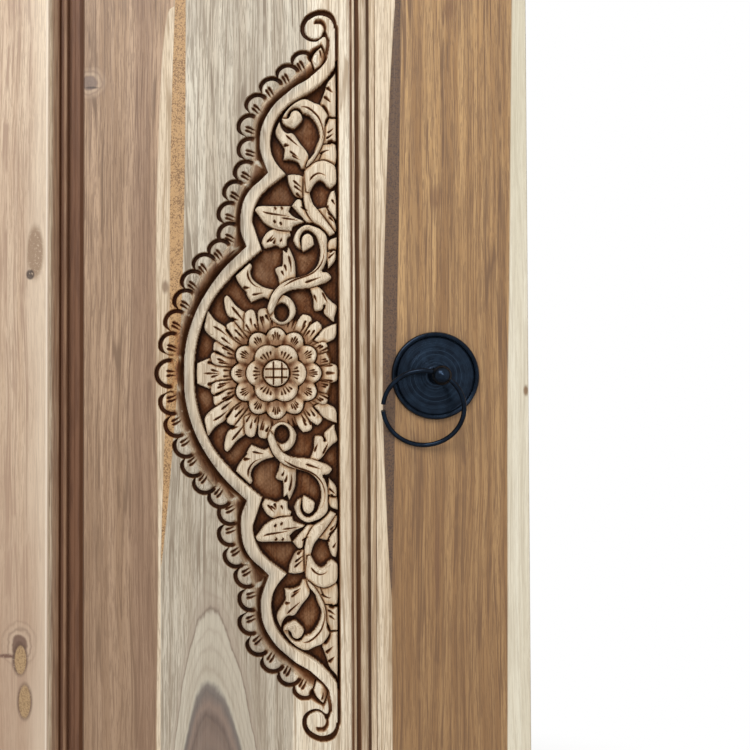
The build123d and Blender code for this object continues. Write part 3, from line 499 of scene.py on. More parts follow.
def cutGutter(sheet):
    # Gutter between the shells and the band, round the volute and along the carving's edge
    outline = smoothed(bandOuter + [(-2, 280), (-2, -4), (125.4, -4)], closed=True, parts=3)
    place, distance = sheet.inside(outline, margin=6)
    stays = easeStep(sheet.gridP[place] + 0.3) * easeStep((276.0 - sheet.gridQ[place]) / 6.0)
    wide = -gutter["depth"] * easeStep((distance + 4.8) / 4.4) * stays
    narrow = -gutter["narrowDepth"] * easeStep((distance + 3.0) / 1.4) * stays
    trench = np.where(scallopZone(sheet)[place], wide, narrow)
    sheet.height[place] = np.minimum(sheet.height[place], trench)
    place, distance = sheet.inside(smoothed(voluteRim))
    trench = -gutter["narrowDepth"] * easeStep((distance + 0.4) / 1.2)
    sheet.height[place] = np.minimum(sheet.height[place], trench)
    sheet.cut[place] = np.maximum(sheet.cut[place], 0.8 * easeStep((distance + 0.3) / 0.8))
    place, distance = sheet.inside(smoothed(lastLeaf))
    now = sheet.height[place]
    sheet.height[place] = np.where(distance > -1.2, np.minimum(now, -1.5), now)
    under = easeStep((17.5 - sheet.gridP[place]) / 7.0) * easeStep((259.0 - sheet.gridQ[place]) / 6.0)
    sheet.stand(place, distance, -0.5, 3.0, cutWidth=1.2, cutDepth=2.2, shade=0.62 * under)
    far = np.abs(sheet.gridP - gutter["straightP"])
    straight = far < gutter["straightHalf"]
    ending = easeStep((280 - sheet.gridQ) / 6.0)
    groove = -gutter["narrowDepth"] * easeStep(gutter["straightHalf"] - far) * ending
    sheet.height = np.where(straight, np.minimum(sheet.height, groove), sheet.height)
    dark = -0.2 * groove * (sheet.gridP < 2.4)
    sheet.cut = np.where(straight, np.maximum(sheet.cut, dark), sheet.cut)


def sinkGround(sheet):
    # The lowered ground; gives one where the pocket lies
    ground = np.vstack([smoothed(groundLine, closed=False, parts=4), [(0.2, 252)], [(0.2, -6)], [(121, -6)]])
    place, distance = sheet.inside(ground)
    well = sheet.floor * easeStep((distance + 0.2) / 1.3)
    sheet.height[place] = np.minimum(sheet.height[place], well)
    pocket = np.zeros_like(sheet.height)
    pocket[place] = easeStep((distance + 0.5) / 1.5)
    return pocket


def addLeafRing(sheet):
    # The ring of leaves lies on a bed round the flower, with cuts running out between them
    cp, cq = flower["centre"]
    away = np.hypot(sheet.gridP - cp, sheet.gridQ - cq)
    bed = flower["bedTop"] - 4.6 * easeStep((away - 42.0) / 6.0)
    sheet.height = np.where(away < 49.0, np.maximum(sheet.height, bed), sheet.height)
    sheet.shade = np.where(away < 46.0, 0.45, sheet.shade)
    baseShade = 0.5 * easeStep((44.0 - away) / 8.0)
    for top, edge, outline in leafRing:
        place, distance = sheet.inside(smoothed(rooted(outline)))
        shade = baseShade[place]
        # Leaves take painted shade towards the flower and cast painted shade round them
        sheet.stand(place, distance + 0.7, top, edge, cutDepth=0.9, drop=1.5, shade=shade, shadeAround=0.28)
    for turn in range(3, 180, 9):
        angle = math.radians(turn + 2.0 * math.sin(turn))
        sheet.addCut(1.5, 1.5, [around(angle, 45.5 + 2.5 * math.sin(turn * 1.7)), around(angle, 36.5)])


def addLoop(sheet):
    # Ring of the loop, behind the long vine, with its hole cut through both
    cp, cq = loopRing["centre"]
    place = sheet.window([(cp - 16, cq - 16), (cp + 16, cq + 18)], 0)
    gp, gq = sheet.gridP[place] - cp, sheet.gridQ[place] - cq
    holeP, holeQ = loopRing["hole"]
    far = (np.hypot(gp / holeP, gq / holeQ) - 1.0) * (holeP + holeQ) / 2
    wide = loopRing["rim"] * (1 - 0.66 * np.clip(-gq / 9.0, 0, 1))
    sheet.stand(place, wide - far, loopRing["top"], loopRing["edge"])
    sheet.addForm(*longVine)
    hole = easeStep(-(far - 0.2) / 1.2)
    sheet.height[place] = sheet.floor * hole + sheet.height[place] * (1 - hole)


def carveRelief():
    sheet = ReliefSheet(relief)
    addScallops(sheet)
    cutGutter(sheet)
    pocket = sinkGround(sheet)
    addLeafRing(sheet)
    addFlower(sheet)
    for form in foliage + vineWork:
        sheet.addForm(*form)
    addLoop(sheet)
    for form in eggs:
        sheet.addForm(*form)
    # Band and volute on top
    band = np.vstack([smoothed([(125.4, -9)] + bandOuter, closed=False, parts=4),
                      smoothed(bandInner + [(117.3, -9)], closed=False, parts=4)])
    whole = np.full(sheet.height.shape, -9.0)
    for outline in (band, smoothed(voluteDisc)):
        place, distance = sheet.inside(outline)
        whole[place] = np.maximum(whole[place], distance)
    sheet.stand((slice(None), slice(None)), whole, 0.0, 2.0, cutWidth=1.0, cutDepth=2.6, drop=0.9)
    for width, depth, lines in fineCuts:
        for line in lines:
            sheet.addCut(width * 1.2, depth * 1.1, line)
    # Tool marks on the ground
    ripple = np.sin(sheet.gridP * 1.7 + 2.0 * np.sin(sheet.gridQ * 0.31))
    ripple *= np.sin(sheet.gridQ * 1.3 + sheet.gridP * 0.4)
    sheet.height += 0.18 * ripple * easeStep((-sheet.height - 5.5) / 1.5)
    sheet.height = np.maximum(sheet.height, sheet.floor - 0.3)
    return sheet, pocket


def stainAndShadeOf(sheet, pocket):
    # Dark stain and painted shade both gather in hollows, narrow and wide, deep down and in every cut; the
    # shade painted on the sheet is added over them
    near = blurred(sheet.height, 1.2 / sheet.step) - sheet.height
    wide = blurred(sheet.height, 3.6 / sheet.step) - sheet.height
    deep = 0.56 * easeStep((-sheet.height - 4.4) / 2.8)
    hollowStainAndShade = deep + 0.44 * easeStep(near / 1.7) + 0.32 * easeStep((wide + 0.1) / 3.0)
    hollowStainAndShade = np.maximum(hollowStainAndShade, 0.9 * easeStep(sheet.cut * 1.5))
    shallow = easeStep((-sheet.height - 1.0) / 2.2) * 0.62 * (1.0 - pocket)
    hollowStainAndShade = np.maximum(hollowStainAndShade, shallow)
    return np.clip(hollowStainAndShade + sheet.shade * (1.0 - hollowStainAndShade), 0, 1)


def sampled(field, ps, qs, p, q):
    # Value of a sheet at any place, straight between its points
    col = np.clip((p - ps[0]) / (ps[1] - ps[0]), 0, len(ps) - 1.001)
    row = np.clip((q - qs[0]) / (qs[1] - qs[0]), 0, len(qs) - 1.001)
    c0, r0 = col.astype(int), row.astype(int)
    fc, fr = col - c0, row - r0
    top = field[r0, c0] * (1 - fc) + field[r0, c0 + 1] * fc
    low = field[r0 + 1, c0] * (1 - fc) + field[r0 + 1, c0 + 1] * fc
    return top * (1 - fr) + low * fr


board = {
    "x": (-359.0, -144.0), "z": (228.0, 1888.0), "arris": 1.2,
    "tongueX": (-395.0, -115.0), "tongueZ": (199.0, 1917.0), "tongueY": (28.2, 41.8),
    "sideLines": 6, "endLines": 12,    # lines of the plain board beside the carving, and past its ends
}


def addObject(name, data):
    piece = bpy.data.objects.new(name, data)
    bpy.context.scene.collection.objects.link(piece)
    return piece


def pointsOf(mesh):
    co = np.zeros(len(mesh.vertices) * 3)
    mesh.vertices.foreach_get("co", co)
    return co.reshape(-1, 3)


def triangleCount(mesh):
    return sum(len(polygon.vertices) - 2 for polygon in mesh.polygons)


def buildPanel(name, settings):
    sheet, pocket = carveRelief()
    stainAndShade = stainAndShadeOf(sheet, pocket)
    ps = sheet.p
    qs = np.concatenate([-sheet.q[:0:-1], sheet.q]) * settings["stretch"]
    # The lower half is the upper one turned over
    height, stainAndShade, pocket = (np.vstack([field[:0:-1], field]) for field in (sheet.height, stainAndShade, pocket))
    xs = settings["edgeX"] - ps                      # runs from right to left
    zs = settings["middleZ"] + qs
    arris = board["arris"]
    leftX, rightX = board["x"][0] + arris, board["x"][1] - arris
    lowZ, highZ = board["z"][0] + arris, board["z"][1] - arris
    beside, beyond = board["sideLines"], board["endLines"]
    xLines = np.concatenate([[rightX], xs, np.linspace(xs[-1], leftX, beside)[1:]])
    below, above = np.linspace(lowZ, zs[0], beyond), np.linspace(zs[-1], highZ, beyond)
    zLines = np.concatenate([below[:-1], zs, above[1:]])
    full = np.zeros((len(zLines), len(xLines)))
    full[beyond - 1:beyond - 1 + len(zs), 1:1 + len(xs)] = height
    gx, gz = np.meshgrid(xLines, zLines)
    gy = settings["faceY"] - full
    front = np.stack([gx, gy, gz], axis=-1).reshape(-1, 3)
    index = np.arange(gx.size).reshape(gx.shape)
    quads = np.stack([index[:-1, :-1], index[:-1, 1:], index[1:, 1:], index[1:, :-1]], axis=-1).reshape(-1, 4)
    # Rings down the board's sides, out to the tongue and round its back
    loop = np.concatenate([index[0, :-1], index[:-1, -1], index[-1, :0:-1], index[:0:-1, 0]])
    edge = front[loop]

    def ringAt(x, z, y):
        ring = edge.copy()
        ring[:, 0] = np.interp(edge[:, 0], [leftX, rightX], x)
        ring[:, 2] = np.interp(edge[:, 2], [lowZ, highZ], z)
        ring[:, 1] = y
        return ring

    tongueLow, tongueHigh = board["tongueY"]
    rings = [
        ringAt(board["x"], board["z"], settings["faceY"] + arris),
        ringAt(board["x"], board["z"], tongueLow),
        ringAt(board["tongueX"], board["tongueZ"], tongueLow),
        ringAt(board["tongueX"], board["tongueZ"], tongueHigh),
    ]
    verts = [front] + rings
    faces = [quads]
    before = loop
    start = len(front)
    size = len(loop)
    for ring in rings:
        after = np.arange(start, start + size)
        faces.append(np.stack([before, after, np.roll(after, -1), np.roll(before, -1)], axis=-1))
        before = after
        start += size
    verts.append(np.array([[sum(board["tongueX"]) / 2, tongueHigh, sum(board["tongueZ"]) / 2]]))
    fan = np.stack([before, np.full(size, start), np.roll(before, -1)], axis=-1)
    mesh = bpy.data.meshes.new(name)
    points = np.vstack(verts) / 1000.0
    polys = [tuple(face) for part in faces for face in part.tolist()] + [tuple(face) for face in fan.tolist()]
    mesh.from_pydata(points.tolist(), [], polys)
    mesh.update()
    piece = addObject(name, mesh)
    tidyMesh(mesh)
    triangles = triangleCount(mesh)
    thin = piece.modifiers.new("thin", "DECIMATE")
    thin.ratio = min(1.0, settings["triangles"] / triangles)
    applied = bpy.data.meshes.new_from_object(piece.evaluated_get(bpy.context.evaluated_depsgraph_get()))
    piece.modifiers.remove(thin)
    piece.data = applied
    bpy.data.meshes.remove(mesh)
    mesh = applied
    mesh.name = name
    co = pointsOf(mesh) * 1000.0
    p = settings["edgeX"] - co[:, 0]
    q = co[:, 2] - settings["middleZ"]
    here = (p >= ps[0]) & (p <= ps[-1]) & (np.abs(q) <= qs[-1]) & (co[:, 1] < settings["faceY"] + 9)
    # Stain with its painted shade, and the pocket, go on the points as attributes
    for label, field in (("stainAndShade", stainAndShade), ("pocket", pocket)):
        layer = mesh.attributes.new(label, "FLOAT", "POINT")
        layer.data.foreach_set("value", np.where(here, sampled(field, ps, qs, p, q), 0.0).astype(np.float32))
    return piece


def tidyMesh(mesh):
    work = bmesh.new()
    work.from_mesh(mesh)
    bmesh.ops.remove_doubles(work, verts=work.verts, dist=1e-6)
    bmesh.ops.recalc_face_normals(work, faces=work.faces)
    work.to_mesh(mesh)
    work.free()
    mesh.update()


# The open leaf stands where the shut one would, mirrored and turned
swing = {"pivot": (0.483, 0.031), "angle": -95.0}


def openedCopy(piece, name):
    mesh = piece.data.copy()
    mesh.name = name
    co = pointsOf(mesh)
    px, py = swing["pivot"]
    turn = math.radians(swing["angle"])
    x = -co[:, 0] - px
    y = co[:, 1] - py
    co[:, 0] = px + x * math.cos(turn) - y * math.sin(turn)
    co[:, 1] = py + x * math.sin(turn) + y * math.cos(turn)
    mesh.vertices.foreach_set("co", co.ravel())
    mesh.flip_normals()
    mesh.update()
    return addObject(name, mesh)


def joinTo(tree, socket, value):
    if hasattr(value, "is_output"):
        tree.links.new(value, socket)
    else:
        socket.default_value = value


def treeMath(tree, operation, *values, clamp=False):
    node = tree.nodes.new("ShaderNodeMath")
    node.operation = operation
    node.use_clamp = clamp
    for socket, value in zip(node.inputs, values):
        joinTo(tree, socket, value)
    return node.outputs[0]


def drawCurve(node, points, straight=False):
    curve = node.mapping.curves[0]
    while len(curve.points) < len(points):
        curve.points.new(0.5, 0.5)
    for point, place in zip(curve.points, points):
        point.location = place
        if straight:
            point.handle_type = "VECTOR"
    node.mapping.update()


# Materials
def tone(red, green, blue):
    # A colour as seen on a screen, 0 to 255, in the linear values that the shader takes
    def linear(value):
        value = value / 255.0
        return value / 12.92 if value <= 0.04045 else ((value + 0.055) / 1.055) ** 2.4
    return (linear(red), linear(green), linear(blue), 1.0)


def grey(value):
    return (value, value, value, 1.0)


class Desk:
    # Short names for the nodes that every material here uses
    def __init__(self, name):
        self.material = bpy.data.materials.new(name)
        self.material.use_nodes = True
        self.tree = self.material.node_tree
        self.nodes = self.tree.nodes
        self.shader = self.nodes["Principled BSDF"]

    def put(self, socket, value):
        joinTo(self.tree, socket, value)

    def math(self, operation, *values, clamp=False):
        return treeMath(self.tree, operation, *values, clamp=clamp)

    def times(self, first, second):
        return self.math("MULTIPLY", first, second)

    def plus(self, first, second):
        return self.math("ADD", first, second)

    def minus(self, first, second):
        return self.math("SUBTRACT", first, second)

    def reach(self, first, second):
        # The long side over two short ones
        return self.math("SQRT", self.plus(self.times(first, first), self.times(second, second)))

    def waves(self, value, power):
        return self.math("POWER", self.math("MULTIPLY_ADD", self.math("SINE", value), 0.5, 0.5), power)

    def step(self, value, low, high, top=1.0):
        node = self.nodes.new("ShaderNodeMapRange")
        node.interpolation_type = "SMOOTHSTEP"
        self.put(node.inputs["Value"], value)
        node.inputs["From Min"].default_value = low
        node.inputs["From Max"].default_value = high
        node.inputs["To Max"].default_value = top
        return node.outputs[0]

    def between(self, value, low, high, soft):
        rising = self.step(value, low - soft, low + soft)
        return self.times(rising, self.step(value, high + soft, high - soft))

    def past(self, value, edge, soft=0.5):
        # One where the value lies past a joint
        return self.step(self.minus(value, edge), -soft, soft)

    def noise(self, vector, scale=1.0, detail=3.0, rough=0.5, warp=0.0):
        node = self.nodes.new("ShaderNodeTexNoise")
        self.put(node.inputs["Vector"], vector)
        node.inputs["Scale"].default_value = scale
        node.inputs["Detail"].default_value = detail
        node.inputs["Roughness"].default_value = rough
        node.inputs["Distortion"].default_value = warp
        return node.outputs[0]

    def vector(self, x, y, z):
        node = self.nodes.new("ShaderNodeCombineXYZ")
        for socket, value in zip(node.inputs, (x, y, z)):
            self.put(socket, value)
        return node.outputs[0]

    def drawn(self, places, scales, detail=3.0, rough=0.5, warp=0.0):
        # Noise with a scale of its own along each direction, and none where that is zero
        scaled = [self.times(place, scale) if scale else 0.0 for place, scale in zip(places, scales)]
        return self.noise(self.vector(*scaled), 1.0, detail, rough, warp)

    def mix(self, factor, first, second, blend="MIX"):
        node = self.nodes.new("ShaderNodeMix")
        node.data_type = "RGBA"
        node.blend_type = blend
        self.put(node.inputs[0], factor)
        self.put(node.inputs[6], first)
        self.put(node.inputs[7], second)
        return node.outputs[2]

    def ramp(self, value, stops):
        node = self.nodes.new("ShaderNodeValToRGB")
        self.put(node.inputs[0], value)
        line = node.color_ramp
        while len(line.elements) < len(stops):
            line.elements.new(0.5)
        for element, (place, colour) in zip(line.elements, stops):
            element.position = place
            element.color = colour
        return node.outputs[0]

    def attribute(self, label):
        node = self.nodes.new("ShaderNodeAttribute")
        node.attribute_name = label
        return node.outputs["Fac"]

    def places(self, side="left"):
        # x, y and z in millimetres, in the shut left leaf's own place
        coordinates = self.nodes.new("ShaderNodeTexCoord")
        mapping = self.nodes.new("ShaderNodeMapping")
        self.put(mapping.inputs["Vector"], coordinates.outputs["Object"])
        split = self.nodes.new("ShaderNodeSeparateXYZ")
        self.put(split.inputs[0], mapping.outputs[0])
        flip = 1000.0
        if side == "right":
            px, py = swing["pivot"]
            back = math.radians(-swing["angle"])
            mapping.inputs["Rotation"].default_value = (0, 0, back)
            mapping.inputs["Location"].default_value = (
                px - px * math.cos(back) + py * math.sin(back),
                py - px * math.sin(back) - py * math.cos(back), 0)
            flip = -1000.0
        return [self.times(output, scale) for output, scale in zip(split.outputs, (flip, 1000.0, 1000.0))]

    def spot(self, x, z, middle, half, soft=0.25):
        # One inside a rounded spot, fading out at its rim
        dx = self.math("DIVIDE", self.minus(x, middle[0]), half[0])
        dz = self.math("DIVIDE", self.minus(z, middle[1]), half[1])
        return self.step(self.reach(dx, dz), 1.0 + soft, 1.0 - soft)

    def jointLine(self, z, stops):
        # x of a joint that wanders up the door, given at a few heights
        low, high = stops[0][1], stops[-1][1]
        xs = [x for x, _ in stops]
        base, spread = min(xs), max(xs) - min(xs)
        curve = self.nodes.new("ShaderNodeFloatCurve")
        drawCurve(curve, [((height - low) / (high - low), (x - base) / spread) for x, height in stops])
        share = self.math("DIVIDE", self.minus(z, low), high - low)
        self.put(curve.inputs["Value"], self.math("ADD", share, 0.0, clamp=True))
        return self.math("MULTIPLY_ADD", curve.outputs[0], spread, base)

    def finish(self, colour, height, rough=0.5, bump=0.25, reach=0.0006):
        self.put(self.shader.inputs["Base Color"], colour)
        self.put(self.shader.inputs["Roughness"], rough)
        node = self.nodes.new("ShaderNodeBump")
        node.inputs["Strength"].default_value = bump
        node.inputs["Distance"].default_value = reach
        self.put(node.inputs["Height"], height)
        self.put(self.shader.inputs["Normal"], node.outputs[0])
        return self.material


# Scales across, through and along a board, for each millimetre, then detail, roughness and warp
woodNoise = {
    "wander": ((0.012, 1.0, 0.0035), 2.0, 0.5),
    "cloud": ((0.009, 1.0, 0.0022), 2.0, 0.5),
    "figure": ((0.022, 0.02, 0.0012), 2.0, 0.45, 0.4),
    "streak": ((0.16, 0.1, 0.004), 4.0, 0.6),
    "fibre": ((0.42, 0.4, 0.0065), 5.0, 0.72),
    "pores": ((0.95, 0.9, 0.018), 3.0, 0.65),
    "hairs": ((1.5, 1.2, 0.07), 2.0, 0.6),
    "veins": ((0.12, 0.1, 0.0022), 2.0, 0.5),
    "broken": ((0.05, 1.0, 0.02), 2.0, 0.6),
}
woodSetting = {"seedShift": 37.0, "wander": 16.0, "lowFrom": 1260.0, "lowTo": 780.0}


def grain(desk, across, deep, along, look):
    # Colour and height of one piece of wood: broad tone, growth lines, veins and fine pores, and painted
    # shade towards the foot where the look has it
    def layer(name, start):
        return desk.drawn((start, deep, along), *woodNoise[name])

    shifted = desk.plus(across, look["seed"] * woodSetting["seedShift"])
    bent = desk.plus(shifted, desk.times(layer("wander", shifted), woodSetting["wander"]))
    cloud = layer("cloud", shifted)
    wave = desk.waves(desk.times(layer("figure", bent), look["lines"]), 3.4)
    streak, fibre = layer("streak", bent), layer("fibre", bent)
    vein = desk.step(desk.math("ABSOLUTE", desk.minus(layer("veins", bent), 0.5)), 0.03, 0.006)
    vein = desk.times(vein, desk.step(layer("broken", bent), 0.36, 0.5))
    pores = desk.step(layer("pores", bent), 0.52, 0.62)
    pores = desk.math("MAXIMUM", pores, desk.step(layer("hairs", bent), 0.53, 0.6, 0.8))
    pores = desk.math("MAXIMUM", pores, desk.times(vein, 1.3))
    colour = desk.mix(desk.step(streak, 0.36, 0.64), look["dark"], look["light"])
    for force, paint in (
        (desk.times(wave, look["ringForce"]), "ring"),
        (desk.step(fibre, 0.5, 0.66, look["fibreForce"]), "ring"),
        (desk.step(fibre, 0.42, 0.3, 0.45), "light"),
        (desk.step(cloud, 0.5, 0.72, 0.4), "ring"),
        (desk.times(pores, look["poreForce"]), "pore"),
    ):
        colour = desk.mix(force, colour, look[paint])
    if look["lowTone"]:
        # Painted shade: darker towards the foot, where the photograph is darker
        low = desk.step(along, woodSetting["lowFrom"], woodSetting["lowTo"], look["lowTone"])
        colour = desk.mix(low, colour, look["ring"])
    return colour, desk.plus(desk.times(wave, -0.3), desk.times(pores, -0.8))


def wood(light, dark, ring, pore, **more):
    look = {"ringForce": 0.5, "fibreForce": 0.6, "poreForce": 0.66, "lowTone": 0.0}
    look.update(light=tone(*light), dark=tone(*dark), ring=tone(*ring), pore=tone(*pore), **more)
    return look


# Where a wood grows darker towards the foot, that darkening is painted shade
sapwood = wood((242, 220, 190), (226, 200, 168), (180, 150, 126), (158, 128, 106),
               lines=30.0, ringForce=0.34, poreForce=0.6, seed=1.0, lowTone=0.8)
brownHeart = wood((198, 166, 136), (172, 140, 110), (138, 108, 82), (114, 88, 66),
                  lines=60.0, ringForce=0.42, seed=2.0, lowTone=0.5)
greyCream = wood((222, 212, 192), (202, 188, 166), (160, 144, 124), (138, 122, 102),
                 lines=56.0, ringForce=0.4, poreForce=0.75, seed=3.0, lowTone=0.32)
honey = wood((198, 158, 108), (172, 132, 86), (124, 88, 54), (112, 82, 56),
             lines=64.0, ringForce=0.42, seed=4.0, lowTone=0.42)
reedCream = wood((242, 225, 198), (228, 208, 178), (190, 162, 128), (160, 132, 100),
                 lines=36.0, ringForce=0.3, poreForce=0.6, fibreForce=0.5, seed=5.0)
oiledTeak = wood((150, 110, 74), (116, 82, 54), (88, 60, 38), (70, 46, 30),
                 lines=60.0, ringForce=0.45, seed=6.0)
palest = wood((242, 234, 212), (230, 220, 196), (202, 188, 162), (184, 168, 142),
              lines=24.0, ringForce=0.25, poreForce=0.3, fibreForce=0.35, seed=7.0)


def speckle(desk, places, colour, dark):
    # Sawdust and glue, as the fillers are made of
    dots = desk.noise(desk.vector(*places), 0.8, 3.0, 0.75)
    cloud = desk.noise(desk.vector(*places), 0.06, 2.0, 0.5)
    return desk.mix(desk.step(desk.math("MULTIPLY_ADD", cloud, 0.16, dots), 0.56, 0.68), colour, dark)


def knot(desk, colour, x, z, middle, half, heart):
    # A dark heart, and growth lines that run round it and fade away
    dx = desk.math("DIVIDE", desk.minus(x, middle[0]), half[0])
    dz = desk.math("DIVIDE", desk.minus(z, middle[1]), half[1])
    bend = desk.drawn((x, 0.0, z), (0.12, 0, 0.12), 2.0)
    far = desk.math("MULTIPLY_ADD", bend, 0.9, desk.minus(desk.reach(dx, dz), 0.45))
    rings = desk.times(desk.waves(desk.times(far, 9.0), 2.0), desk.step(far, 3.2, 1.0, 0.55))
    colour = desk.mix(desk.step(far, 2.6, 1.0, 0.35), colour, tone(214, 190, 164))
    colour = desk.mix(rings, colour, tone(126, 98, 80))
    return desk.mix(desk.step(far, 1.15, 0.7, 0.85), colour, heart)


def filler(desk, x, z, left, right, foot):
    # One in a strip of filler between two joints, above its foot
    inside = desk.times(desk.past(x, left), desk.past(right, x))
    return desk.times(inside, desk.step(z, *foot))


# Marks: middle (x, z), half size, colour and softness, in millimetres on the shut left leaf
hingeStile = {
    "warmSide": (-388.0, -416.0, 0.34), "paleSide": (-386.0, -372.0, 0.4), "joint": -387.9,
    "knot": ((-409, 845), (6, 8), tone(104, 74, 60)),
    "marks": [
        ((-397, 1158), (6.5, 21), tone(150, 122, 96), 0.25), ((-401, 1140), (3.2, 4), tone(60, 44, 36), 0.25),
        ((-419, 836), (7, 1.6), tone(110, 76, 62), 0.5),
        ((-404.6, 799.8), (6.0, 14.4), tone(104, 78, 60), 0.2),
        ((-408.4, 833.4), (6.2, 13), tone(92, 66, 50), 0.2),
    ],
    "fillers": [((-404.6, 799.8), (4.6, 12.8)), ((-408.0, 832.8), (4.6, 11.2))],
}


def hingeStileWood(side):
    desk = Desk(side + "HingeStileWood")
    x, y, z = desk.places(side)
    colour, height = grain(desk, x, y, z, sapwood)
    wavy = desk.math("MULTIPLY_ADD", desk.drawn((x, 0.0, z), (0.02, 0, 0.003)), 40.0, x)
    colour = desk.mix(desk.step(wavy, *hingeStile["warmSide"]), colour, tone(184, 146, 118))
    colour = desk.mix(desk.step(wavy, *hingeStile["paleSide"]), colour, tone(244, 226, 200))
    joint = hingeStile["joint"]
    # Darker past the joint, and a pale line on the joint itself, a painted highlight along its arris
    colour = desk.mix(desk.step(x, joint + 0.3, joint + 1.1, 0.5), colour, tone(140, 110, 88))
    light = desk.step(desk.math("ABSOLUTE", desk.minus(x, joint)), 0.9, 0.3, 0.55)
    colour = desk.mix(light, colour, tone(250, 238, 220))
    colour = knot(desk, colour, x, z, *hingeStile["knot"])
    ragged = desk.step(desk.noise(desk.vector(x, y, z), 0.5, 3.0, 0.6), 0.2, 0.5, 0.9)
    for middle, half, paint, soft in hingeStile["marks"]:
        colour = desk.mix(desk.times(desk.spot(x, z, middle, half, soft), ragged), colour, paint)
    sand = speckle(desk, (x, y, z), tone(182, 150, 110), tone(150, 120, 84))
    for middle, half in hingeStile["fillers"]:
        colour = desk.mix(desk.spot(x, z, middle, half, 0.12), colour, sand)
    return desk.finish(colour, height)


# Joints: x at each height, from the foot up
lockStile = {
    "marks": [((-75.6, 1201), (4.5, 9)), ((-65, 1353), (4, 8)), ((-76, 913), (2.2, 36))],
    "sapEdge": [(-21.6, 700), (-20.4, 829), (-18.8, 1053), (-17.2, 1117), (-14.4, 1293), (-12.8, 1380)],
    "creamEdge": [(-112.4, 881), (-116.4, 957), (-118.8, 1053), (-115.6, 1197), (-107.6, 1357)],
    "fillerEdge": [(-112.4, 881), (-110.4, 957), (-108.4, 1053), (-105, 1197), (-102.8, 1357)],
    "sapMark": ((-4.4, 1046), (1.8, 4)),
}


def lockStileWood(side):
    desk = Desk(side + "LockStileWood")
    x, y, z = desk.places(side)
    colour, height = grain(desk, x, y, z, honey)
    for middle, half in lockStile["marks"]:
        colour = desk.mix(desk.times(desk.spot(x, z, middle, half, 0.6), 0.6), colour, tone(120, 84, 56))
    pale, _ = grain(desk, x, y, z, palest)
    pale = desk.mix(desk.step(z, 1080.0, 1300.0, 0.5), pale, tone(200, 190, 162))
    colour = desk.mix(desk.past(x, desk.jointLine(z, lockStile["sapEdge"]), 0.8), colour, pale)
    colour = desk.mix(desk.spot(x, z, *lockStile["sapMark"], 0.5), colour, tone(140, 112, 84))
    left = desk.jointLine(z, lockStile["creamEdge"])
    right = desk.jointLine(z, lockStile["fillerEdge"])
    cream, _ = grain(desk, x, y, z, reedCream)
    colour = desk.mix(desk.past(left, x), colour, cream)
    strip = filler(desk, x, z, left, right, (876, 890))
    colour = desk.mix(strip, colour, speckle(desk, (x, y, z), tone(102, 75, 52), tone(72, 52, 40)))
    return desk.finish(colour, height)


# Dark lines along the mouldings: from x, to x, force
mouldingLines = {
    "hollow": [(-379.6, -378.2, 0.8), (-373.4, -372.4, 0.6), (-367.8, -367.0, 0.5), (-363.6, -361.0, 0.9)],
    "upright": [(-143.6, -142.4, 0.9), (-140.2, -138.0, 0.85), (-138.0, -130.4, 0.2), (-130.6, -128.8, 0.85),
               (-124.2, -123.2, 1.0)],
}


def mouldingWood(side, kind):
    # kind is hollow, upright for the reeds beside the lock stile, or level for those at top and bottom
    desk = Desk(side + kind.capitalize() + "MouldingWood")
    x, y, z = desk.places(side)
    level = kind == "level"
    colour, height = grain(desk, z, y, x, reedCream) if level else grain(desk, x, y, z, reedCream)
    smear = desk.noise(desk.vector(desk.times(x, 0.3), y, desk.times(z, 0.02)), 1.0, 3.0, 0.6)
    depth = desk.math("MULTIPLY_ADD", smear, 1.6, y)
    # The deeper the surface lies, the darker it is made: painted shade, with the dark stain of the grooves
    if kind == "hollow":
        colour = desk.mix(desk.step(depth, 13.0, 15.6, 0.85), colour, tone(136, 99, 72))
        colour = desk.mix(desk.step(depth, 15.6, 20.5, 0.9), colour, tone(120, 83, 61))
        colour = desk.mix(desk.step(smear, 0.4, 0.62, 0.4), colour, tone(78, 50, 38))
    else:
        colour = desk.mix(desk.step(smear, 0.42, 0.66, 0.5), colour, tone(150, 116, 84))
        force = 0.95 if level else desk.minus(0.95, desk.times(desk.between(x, -131.6, -125.8, 0.5), 0.62))
        colour = desk.mix(desk.times(desk.step(depth, 13.2, 14.6), force), colour, tone(118, 77, 44))
    beside = desk.math("MULTIPLY_ADD", smear, 1.2, desk.minus(x, 0.6))
    for low, high, force in mouldingLines.get(kind, []):
        colour = desk.mix(desk.times(desk.between(beside, low, high, 0.35), force), colour, tone(88, 52, 26))
    desk.shader.inputs["Specular IOR Level"].default_value = 0.2
    return desk.finish(colour, height)


